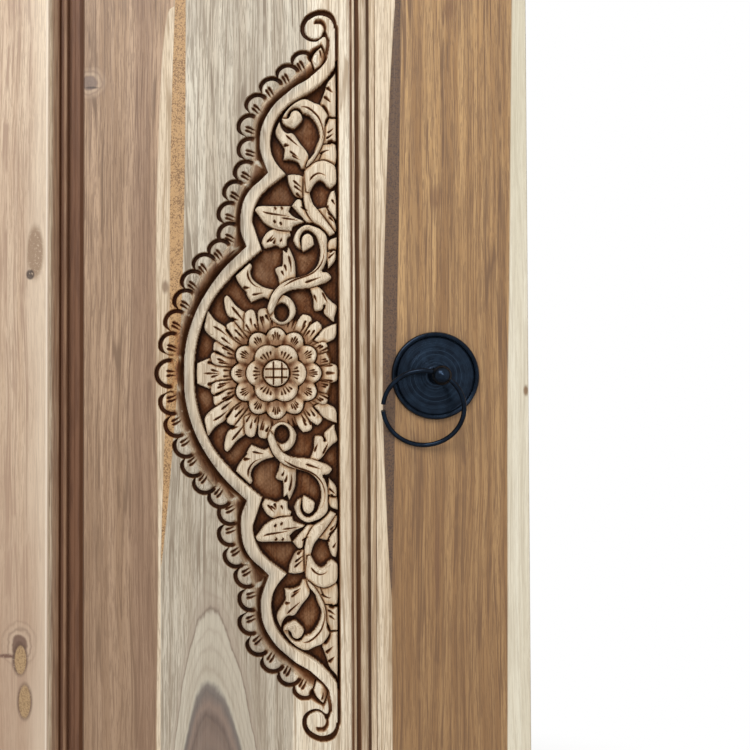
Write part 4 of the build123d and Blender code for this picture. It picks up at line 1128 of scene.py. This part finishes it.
carvedBoard = {
    "glueLine": [(-192, 757), (-178, 1357)],
    "brownEdge": [(-300.4, 757), (-298.8, 957), (-300, 1053), (-299.6, 1197), (-285.4, 1357)],
    "creamEdge": [(-296.6, 905), (-293.6, 1009), (-289.5, 1117), (-289.2, 1197), (-285, 1357)],
    "fillerEdge": [(-296.2, 905), (-286.4, 1009), (-279.8, 1117), (-277.6, 1197), (-276.4, 1357)],
    "heartX": -259.0, "heartFoot": 747.0, "heartRise": 160.0,
    "heart": [
        (0.0, tone(112, 92, 82)), (0.16, tone(124, 102, 90)), (0.24, tone(96, 76, 68)),
        (0.3, tone(134, 112, 100)),
        (0.375, tone(104, 92, 86)), (0.405, tone(108, 102, 98)), (0.45, tone(196, 186, 166)),
        (0.6, tone(206, 196, 176)), (0.765, tone(204, 194, 174)), (0.785, tone(112, 94, 80)),
        (0.802, tone(168, 150, 132)), (1.0, tone(200, 188, 168)),
    ],
    "heartForce": [
        (0.0, grey(0.92)), (0.42, grey(0.92)), (0.5, grey(0.5)), (0.8, grey(0.7)), (1.0, grey(0.0)),
    ],
    "knot": ((-354, 1295), (6.5, 6), tone(124, 104, 92)),
    "marks": [((-293, 1130), (2.5, 5), tone(120, 90, 64)), ((-352, 1291), (5, 0.9), tone(60, 44, 36))],
    # Colours of the stain with its painted shade, from none to the darkest
    "stainAndShade": [
        (0.0, tone(255, 255, 255)), (0.16, tone(234, 218, 200)), (0.42, tone(168, 134, 106)),
        (0.68, tone(114, 75, 49)), (1.0, tone(52, 31, 20)),
    ],
}


def heartwood(desk, colour, x, z):
    # Arches of the growth lines at the foot of the board, round a dark heart
    look = carvedBoard
    aside = desk.minus(x, look["heartX"])
    bow = desk.times(desk.times(aside, aside), desk.minus(0.15, desk.step(aside, -4.0, 10.0, 0.075)))
    wobble = desk.drawn((x, 0.0, z), (0.09, 0, 0.03), 3.0, 0.6)
    rise = desk.plus(desk.plus(bow, z), desk.times(desk.minus(wobble, 0.5), 22.0))
    share = desk.math("DIVIDE", desk.minus(rise, look["heartFoot"]), look["heartRise"], clamp=True)
    force = desk.times(desk.ramp(share, look["heartForce"]), desk.step(z, 560.0, 740.0, 0.94))
    colour = desk.mix(force, colour, desk.ramp(share, look["heart"]))
    ripples = desk.times(desk.waves(desk.times(rise, 0.42), 4.0), desk.step(rise, 1010.0, 880.0, 0.22))
    return desk.mix(ripples, colour, tone(140, 118, 100))


def carvedWood(side):
    desk = Desk(side + "CarvedWood")
    x, y, z = desk.places(side)
    colour, height = grain(desk, x, y, z, greyCream)
    golden = dict(reedCream, light=tone(252, 242, 220), dark=tone(244, 228, 202), ring=tone(210, 186, 154))
    yellow, _ = grain(desk, x, y, z, golden)
    glue = desk.jointLine(z, carvedBoard["glueLine"])
    colour = desk.mix(desk.times(desk.past(x, glue, 0.6), 0.95), colour, yellow)
    colour = heartwood(desk, colour, x, z)
    # The brown board on the left, with its pale edge and the filler beside it
    joints = ("brownEdge", "creamEdge", "fillerEdge")
    edge, left, right = (desk.jointLine(z, carvedBoard[joint]) for joint in joints)
    brown, _ = grain(desk, x, y, z, brownHeart)
    pale, _ = grain(desk, x, y, z, dict(reedCream, seed=21.0))
    colour = desk.mix(desk.past(left, x), colour, pale)
    colour = desk.mix(desk.past(edge, x, 0.6), colour, brown)
    strip = filler(desk, x, z, left, right, (900, 915))
    colour = desk.mix(strip, colour, speckle(desk, (x, y, z), tone(194, 154, 106), tone(132, 98, 62)))
    band = desk.math("MULTIPLY_ADD", desk.drawn((x, 0.0, z), (0.03, 0, 0.004)), 26.0, x)
    band = desk.times(desk.between(band, -306.0, -290.0, 4.0), desk.step(desk.minus(edge, x), 0.0, 1.0, 0.42))
    colour = desk.mix(band, colour, tone(130, 98, 76))
    colour = knot(desk, colour, x, z, *carvedBoard["knot"])
    for middle, half, paint in carvedBoard["marks"]:
        colour = desk.mix(desk.times(desk.spot(x, z, middle, half, 0.5), 0.75), colour, paint)
    colour = desk.mix(desk.step(x, -357.4, -358.4, 0.7), colour, tone(84, 58, 42))
    # The pocket is warmer wood, and the stain with painted shade in the hollows darkens all of it unevenly
    warm, _ = grain(desk, x, y, z, reedCream)
    colour = desk.mix(desk.times(desk.attribute("pocket"), 0.75), colour, warm)
    givenStainAndShade = desk.attribute("stainAndShade")
    mottle = desk.minus(desk.noise(desk.vector(x, y, z), 0.085, 3.0, 0.6), 0.5)
    stainAndShade = desk.times(desk.math("MULTIPLY_ADD", mottle, 0.5, givenStainAndShade), desk.step(givenStainAndShade, 0.0, 0.12))
    colour = desk.mix(1.0, colour, desk.ramp(stainAndShade, carvedBoard["stainAndShade"]), "MULTIPLY")
    # Dark hollows stay dull, so that they reflect nothing grey
    desk.put(desk.shader.inputs["Specular IOR Level"], desk.plus(0.08, desk.step(stainAndShade, 0.75, 0.25, 0.42)))
    return desk.finish(colour, height, rough=0.52)


def plainWood(name, look, run="z", side="left"):
    # run is the direction of the grain
    desk = Desk(name)
    x, y, z = desk.places(side)
    across, deep, along = {"z": (x, y, z), "x": (z, y, x), "y": (x, z, y)}[run]
    return desk.finish(*grain(desk, across, deep, along, look))


plateMiddle = (-77.0, 1058.0)


def blackMetal(name, turnedSide=None):
    desk = Desk(name)
    x, y, z = desk.places(turnedSide or "left")
    cloud = desk.noise(desk.vector(x, y, z), 0.12, 4.0, 0.6)
    height = desk.noise(desk.vector(x, y, z), 1.4, 2.0, 0.5)
    colour = desk.mix(desk.step(cloud, 0.35, 0.7), tone(14, 22, 33), tone(24, 36, 50))
    if turnedSide:
        # Fine rings left by the lathe round the middle of the back plate
        far = desk.reach(desk.minus(x, plateMiddle[0]), desk.minus(z, plateMiddle[1]))
        rings = desk.noise(desk.vector(far, 0.0, 0.0), 1.1, 3.0, 0.7)
        scratches = desk.noise(desk.vector(far, 0.0, 0.0), 5.0, 2.0, 0.6)
        height = desk.plus(desk.plus(desk.times(rings, 1.2), desk.times(height, 0.3)), scratches)
        # The lathe rings are also painted lighter and bluer, a painted sheen along them
        colour = desk.mix(desk.step(rings, 0.54, 0.64, 0.6), colour, tone(60, 80, 100))
    desk.shader.inputs["Metallic"].default_value = 0.9
    rough = desk.math("MULTIPLY_ADD", cloud, 0.14, 0.15)
    return desk.finish(colour, height, rough=rough, bump=0.6 if turnedSide else 0.3, reach=0.0002)


def dress(material, *nodes):
    for node in nodes:
        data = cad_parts[node].data
        if not data.materials:
            data.materials.append(material)
        for index in range(len(data.materials)):
            data.materials[index] = material


def teak(seed, **more):
    return dict(oiledTeak, seed=seed, **more)


dress(plainWood("frameUprightWood", oiledTeak), "left_jamb", "right_jamb")
dress(plainWood("frameLevelWood", oiledTeak, "x"), "head", "sill")
dress(plainWood("framePegWood", teak(11.0, light=tone(120, 86, 58)), "y"), "frame_pegs")
dress(plainWood("barWood", teak(8.0, light=tone(172, 128, 84), dark=tone(138, 100, 64)), "x"), "latch_bar")
dress(plainWood("guideWood", teak(9.0)), "outer_bar_guide", "inner_bar_guide")
dress(plainWood("keeperWood", teak(10.0), "z", "right"), "bar_keeper")
metal = blackMetal("blackMetal")
turnedMetal = {side: blackMetal(side + "TurnedMetal", side) for side in ("left", "right")}
for side in ("left", "right"):
    dress(hingeStileWood(side), side + "_hinge_stile")
    dress(lockStileWood(side), side + "_lock_stile")
    railWood = plainWood(side + "RailWood", dict(honey, seed=12.0), "x", side)
    dress(railWood, side + "_top_rail", side + "_bottom_rail")
    dress(mouldingWood(side, "hollow"), side + "_hinge_moulding")
    dress(mouldingWood(side, "upright"), side + "_lock_moulding")
    dress(mouldingWood(side, "level"), side + "_top_moulding", side + "_bottom_moulding")
    dress(plainWood(side + "PegWood", teak(13.0, light=tone(140, 104, 70)), "y", side), side + "_leaf_pegs")
    for node in ("ring_plate", "ring_post", "ring_washer", "ring_nut", "ring"):
        dress(metal, side + "_" + node)
print("materials ready")

leftPanel = buildPanel("left_carved_relief", relief)
rightPanel = openedCopy(leftPanel, "right_carved_relief")
for side, piece in (("left", leftPanel), ("right", rightPanel)):
    piece.data.materials.clear()
    piece.data.materials.append(carvedWood(side))
    piece.data.shade_flat()
    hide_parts(side + "_carved_panel")
    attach(piece, side + "_leaf")
print("carved panels ready", triangleCount(leftPanel.data))

# Turned back plates and pegs
turnedPlate = {
    "middle": (-0.077, 0.012, 1.058), "radius": 0.035, "height": 0.0046, "steps": 96, "points": 91,
    "ringPitch": 0.0034, "ringDepth": 0.0003, "smoothAngle": 32,
    "ringed": (0.17, 0.36),    # the part of the profile that has the fine rings
    # share of the radius, share of the height, from the middle of the face round to the middle of the back
    "profile": [(0.0, 1.0), (0.19, 1.0), (0.24, 0.86), (0.62, 0.5), (0.86, 0.39), (0.875, 0.44),
                (0.905, 0.76), (0.93, 0.86), (0.955, 0.9), (0.98, 0.8), (1.0, 0.45), (1.0, 0.0), (0.0, 0.0)],
}
pegLook = {"ease": 0.0008, "easeShare": 0.84}


def newTree(name, sizes, geometry=False):
    # A Geometry Nodes tree with named inputs; returns the tree and its input node
    tree = bpy.data.node_groups.new(name, "GeometryNodeTree")
    if geometry:
        tree.interface.new_socket("Geometry", in_out="INPUT", socket_type="NodeSocketGeometry")
    for label, kind in sizes:
        tree.interface.new_socket(label, in_out="INPUT", socket_type="NodeSocket" + kind)
    tree.interface.new_socket("Geometry", in_out="OUTPUT", socket_type="NodeSocketGeometry")
    return tree, tree.nodes.new("NodeGroupInput")


def endTree(tree, geometry, material):
    realize = tree.nodes.new("GeometryNodeRealizeInstances")
    paint = tree.nodes.new("GeometryNodeSetMaterial")
    joinTo(tree, realize.inputs["Geometry"], geometry)
    joinTo(tree, paint.inputs["Geometry"], realize.outputs["Geometry"])
    joinTo(tree, paint.inputs["Material"], material)
    out = tree.nodes.new("NodeGroupOutput")
    tree.links.new(paint.outputs["Geometry"], out.inputs["Geometry"])


def grown(name, tree, values, points=()):
    # The tree's result as a plain mesh, with its place in the mesh
    seed = bpy.data.meshes.new(name + "Seed")
    seed.from_pydata([tuple(point) for point in points], [], [])
    holder = addObject(name + "Seed", seed)
    modifier = holder.modifiers.new("grow", "NODES")
    modifier.node_group = tree
    for item in tree.interface.items_tree:
        if item.in_out == "INPUT" and item.name in values:
            modifier[item.identifier] = values[item.name]
    graph = bpy.context.evaluated_depsgraph_get()
    mesh = bpy.data.meshes.new_from_object(holder.evaluated_get(graph))
    mesh.name = name
    bpy.data.objects.remove(holder)
    bpy.data.meshes.remove(seed)
    tidyMesh(mesh)
    return addObject(name, mesh)


def plateTree(part):
    tree, given = newTree("turnedPlate", [
        ("Radius", "Float"), ("Height", "Float"), ("Ring Pitch", "Float"),
        ("Ring Depth", "Float"), ("Middle", "Vector"), ("Material", "Material")])

    def do(operation, *values):
        return treeMath(tree, operation, *values)

    grid = tree.nodes.new("GeometryNodeMeshGrid")
    grid.inputs["Vertices X"].default_value = part["steps"] + 1
    grid.inputs["Vertices Y"].default_value = part["points"]
    spot = tree.nodes.new("ShaderNodeSeparateXYZ")
    joinTo(tree, spot.inputs[0], tree.nodes.new("GeometryNodeInputPosition").outputs[0])
    angle = do("MULTIPLY", do("ADD", spot.outputs[0], 0.5), 2 * math.pi)
    share = do("ADD", spot.outputs[1], 0.5)
    curves = []
    last = len(part["profile"]) - 1
    for axis in (0, 1):
        node = tree.nodes.new("ShaderNodeFloatCurve")
        points = [(index / last, place[axis]) for index, place in enumerate(part["profile"])]
        drawCurve(node, points, straight=True)
        joinTo(tree, node.inputs["Value"], share)
        curves.append(node.outputs[0])
    reach = do("MULTIPLY", curves[0], given.outputs["Radius"])
    rise = do("MULTIPLY", curves[1], given.outputs["Height"])
    # Fine turned rings on the dish, left by the lathe
    phase = do("MULTIPLY", do("DIVIDE", reach, given.outputs["Ring Pitch"]), 2 * math.pi)
    ripple = do("MULTIPLY", do("POWER", do("ABSOLUTE", do("SINE", phase)), 6.0), given.outputs["Ring Depth"])
    ringsFrom, ringsTo = part["ringed"]
    onFace = do("MULTIPLY", do("LESS_THAN", share, ringsTo), do("GREATER_THAN", share, ringsFrom))
    rise = do("SUBTRACT", rise, do("MULTIPLY", ripple, onFace))
    place = tree.nodes.new("ShaderNodeCombineXYZ")
    joinTo(tree, place.inputs[0], do("MULTIPLY", do("COSINE", angle), reach))
    joinTo(tree, place.inputs[1], do("MULTIPLY", rise, -1.0))
    joinTo(tree, place.inputs[2], do("MULTIPLY", do("SINE", angle), reach))
    moved = tree.nodes.new("ShaderNodeVectorMath")
    joinTo(tree, moved.inputs[0], place.outputs[0])
    joinTo(tree, moved.inputs[1], given.outputs["Middle"])
    shape = tree.nodes.new("GeometryNodeSetPosition")
    joinTo(tree, shape.inputs["Geometry"], grid.outputs["Mesh"])
    joinTo(tree, shape.inputs["Position"], moved.outputs[0])
    weld = tree.nodes.new("GeometryNodeMergeByDistance")
    joinTo(tree, weld.inputs["Geometry"], shape.outputs["Geometry"])
    weld.inputs["Distance"].default_value = 1e-6
    endTree(tree, weld.outputs["Geometry"], given.outputs["Material"])
    return tree


def pegTree():
    tree, given = newTree("squarePegs", [
        ("Width", "Float"), ("Length", "Float"), ("Ease", "Float"),
        ("Ease Share", "Float"), ("Material", "Material")], geometry=True)

    def do(operation, *values):
        return treeMath(tree, operation, *values)

    size = tree.nodes.new("ShaderNodeCombineXYZ")
    joinTo(tree, size.inputs[0], given.outputs["Width"])
    joinTo(tree, size.inputs[1], do("MULTIPLY_ADD", given.outputs["Ease"], -2.0, given.outputs["Length"]))
    joinTo(tree, size.inputs[2], given.outputs["Width"])
    peg = tree.nodes.new("GeometryNodeMeshCube")
    joinTo(tree, peg.inputs["Size"], size.outputs[0])
    normal = tree.nodes.new("ShaderNodeSeparateXYZ")
    joinTo(tree, normal.inputs[0], tree.nodes.new("GeometryNodeInputNormal").outputs[0])
    isEnd = do("GREATER_THAN", do("ABSOLUTE", normal.outputs[1]), 0.5)
    ends = tree.nodes.new("GeometryNodeExtrudeMesh")
    joinTo(tree, ends.inputs["Mesh"], peg.outputs["Mesh"])
    joinTo(tree, ends.inputs["Selection"], isEnd)
    joinTo(tree, ends.inputs["Offset Scale"], given.outputs["Ease"])
    eased = tree.nodes.new("GeometryNodeScaleElements")
    joinTo(tree, eased.inputs["Geometry"], ends.outputs["Mesh"])
    joinTo(tree, eased.inputs["Selection"], ends.outputs["Top"])
    joinTo(tree, eased.inputs["Scale"], given.outputs["Ease Share"])
    spread = tree.nodes.new("GeometryNodeInstanceOnPoints")
    joinTo(tree, spread.inputs["Points"], given.outputs["Geometry"])
    joinTo(tree, spread.inputs["Instance"], eased.outputs["Geometry"])
    endTree(tree, spread.outputs["Instances"], given.outputs["Material"])
    return tree


def islands(node):
    # Middle and size of each separate solid in a CAD node
    work = bmesh.new()
    work.from_mesh(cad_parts[node].data)
    bmesh.ops.remove_doubles(work, verts=work.verts, dist=1e-6)
    found, seen = [], set()
    for vert in work.verts:
        if vert in seen:
            continue
        group, queue = [], [vert]
        seen.add(vert)
        while queue:
            here = queue.pop()
            group.append(here.co)
            fresh = {edge.other_vert(here) for edge in here.link_edges} - seen
            seen |= fresh
            queue += fresh
        spots = np.array([tuple(co) for co in group])
        found.append(((spots.min(0) + spots.max(0)) / 2, spots.max(0) - spots.min(0)))
    work.free()
    return found


plateNodes = plateTree(turnedPlate)
leftPlate = grown("left_turned_plate", plateNodes, {
    "Radius": turnedPlate["radius"], "Height": turnedPlate["height"], "Ring Pitch": turnedPlate["ringPitch"],
    "Ring Depth": turnedPlate["ringDepth"], "Middle": turnedPlate["middle"], "Material": turnedMetal["left"]})
rightPlate = openedCopy(leftPlate, "right_turned_plate")
rightPlate.data.materials[0] = turnedMetal["right"]
for side, piece in (("left", leftPlate), ("right", rightPlate)):
    piece.data.shade_smooth()
    piece.data.set_sharp_from_angle(angle=math.radians(turnedPlate["smoothAngle"]))
    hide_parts(side + "_ring_plate")
    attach(piece, side + "_leaf")

pegNodes = pegTree()
for node, body, side in (("left_leaf_pegs", "left_leaf", "left"), ("right_leaf_pegs", "right_leaf", "right"),
                         ("frame_pegs", "root", "left")):
    source = "left_leaf_pegs" if side == "right" else node
    found = islands(source)
    width, length = found[0][1][0], found[0][1][1]
    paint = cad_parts[node].data.materials[0]
    piece = grown("eased_" + source, pegNodes, {
        "Width": float(width), "Length": float(length), "Ease": pegLook["ease"],
        "Ease Share": pegLook["easeShare"], "Material": paint}, [middle for middle, _ in found])
    if side == "right":
        shut = piece
        piece = openedCopy(shut, "eased_right_leaf_pegs")
        bpy.data.objects.remove(shut)
    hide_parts(node)
    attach(piece, body)
print("plates and pegs ready")

# Floor, light and camera
studio = {
    "floorReach": 3.2, "floorSides": 96, "floorWhite": (1.0, 1.9), "world": 0.56,
    # place, target, size, power
    "keyLamp": ((-0.9, -1.5, 2.5), (-0.25, 0.0, 1.15), 1.1, 27.0),
    "fillLamp": ((1.4, -2.4, 1.4), (-0.2, 0.0, 1.05), 2.2, 6.0),
    "cameraPlace": (-0.200, -0.608, 1.0492), "cameraTurn": (90.9, 0.15, 0.0), "lens": 37.2, "shift": 0.125,
}


def seenRays(tree):
    # One for rays that show the background: straight to the camera, mirrored or passing through
    path = tree.nodes.new("ShaderNodeLightPath")
    shown = path.outputs["Is Camera Ray"]
    for label in ("Is Glossy Ray", "Is Transmission Ray"):
        shown = treeMath(tree, "MAXIMUM", shown, path.outputs[label])
    return shown


def blended(tree, factor, first, second, end):
    node = tree.nodes.new("ShaderNodeMixShader")
    for socket, value in zip(node.inputs, (factor, first, second)):
        joinTo(tree, socket, value)
    joinTo(tree, end.inputs[0], node.outputs[0])


def makeFloor():
    reach, sides = studio["floorReach"], studio["floorSides"]
    mesh = bpy.data.meshes.new("studioFloor")
    turns = np.linspace(0, 2 * math.pi, sides + 1)[:-1]
    ring = [(reach * math.cos(turn), reach * math.sin(turn), 0.0) for turn in turns]
    mesh.from_pydata([(0, 0, 0)] + ring, [], [(0, i + 1, (i + 1) % sides + 1) for i in range(sides)])
    floor = addObject("studioFloor", mesh)
    desk = Desk("studioFloorPaint")
    coordinates = desk.nodes.new("ShaderNodeTexCoord")
    length = desk.nodes.new("ShaderNodeVectorMath")
    length.operation = "LENGTH"
    desk.put(length.inputs[0], coordinates.outputs["Object"])
    away = desk.step(length.outputs["Value"], *studio["floorWhite"])
    desk.shader.inputs["Base Color"].default_value = grey(0.86)
    desk.shader.inputs["Roughness"].default_value = 0.9
    white = desk.nodes.new("ShaderNodeEmission")
    shown = desk.times(away, seenRays(desk.tree))
    blended(desk.tree, shown, desk.shader.outputs[0], white.outputs[0], desk.nodes["Material Output"])
    mesh.materials.append(desk.material)


def makeWorld():
    world = bpy.data.worlds.new("studio")
    bpy.context.scene.world = world
    world.use_nodes = True
    tree = world.node_tree
    light = tree.nodes["Background"]
    light.inputs[0].default_value = grey(1.0)
    light.inputs[1].default_value = studio["world"]
    shown = tree.nodes.new("ShaderNodeBackground")
    shown.inputs[0].default_value = grey(1.0)
    blended(tree, seenRays(tree), light.outputs[0], shown.outputs[0], tree.nodes["World Output"])


def makeLamp(name):
    place, target, size, power = studio[name]
    data = bpy.data.lights.new(name, "AREA")
    data.size = size
    data.energy = power
    lamp = addObject(name, data)
    lamp.location = place
    direction = Vector(target) - Vector(place)
    lamp.rotation_euler = direction.to_track_quat("-Z", "Y").to_euler()


def makeCamera():
    data = bpy.data.cameras.new("photoView")
    data.sensor_width = 36.0
    data.lens = studio["lens"]
    data.shift_x = studio["shift"]
    camera = addObject("photoView", data)
    camera.location = studio["cameraPlace"]
    camera.rotation_euler = [math.radians(turn) for turn in studio["cameraTurn"]]
    bpy.context.scene.camera = camera


makeFloor()
makeWorld()
makeLamp("keyLamp")
makeLamp("fillLamp")
makeCamera()
bpy.context.scene.view_settings.view_transform = "Standard"
print("studio ready")
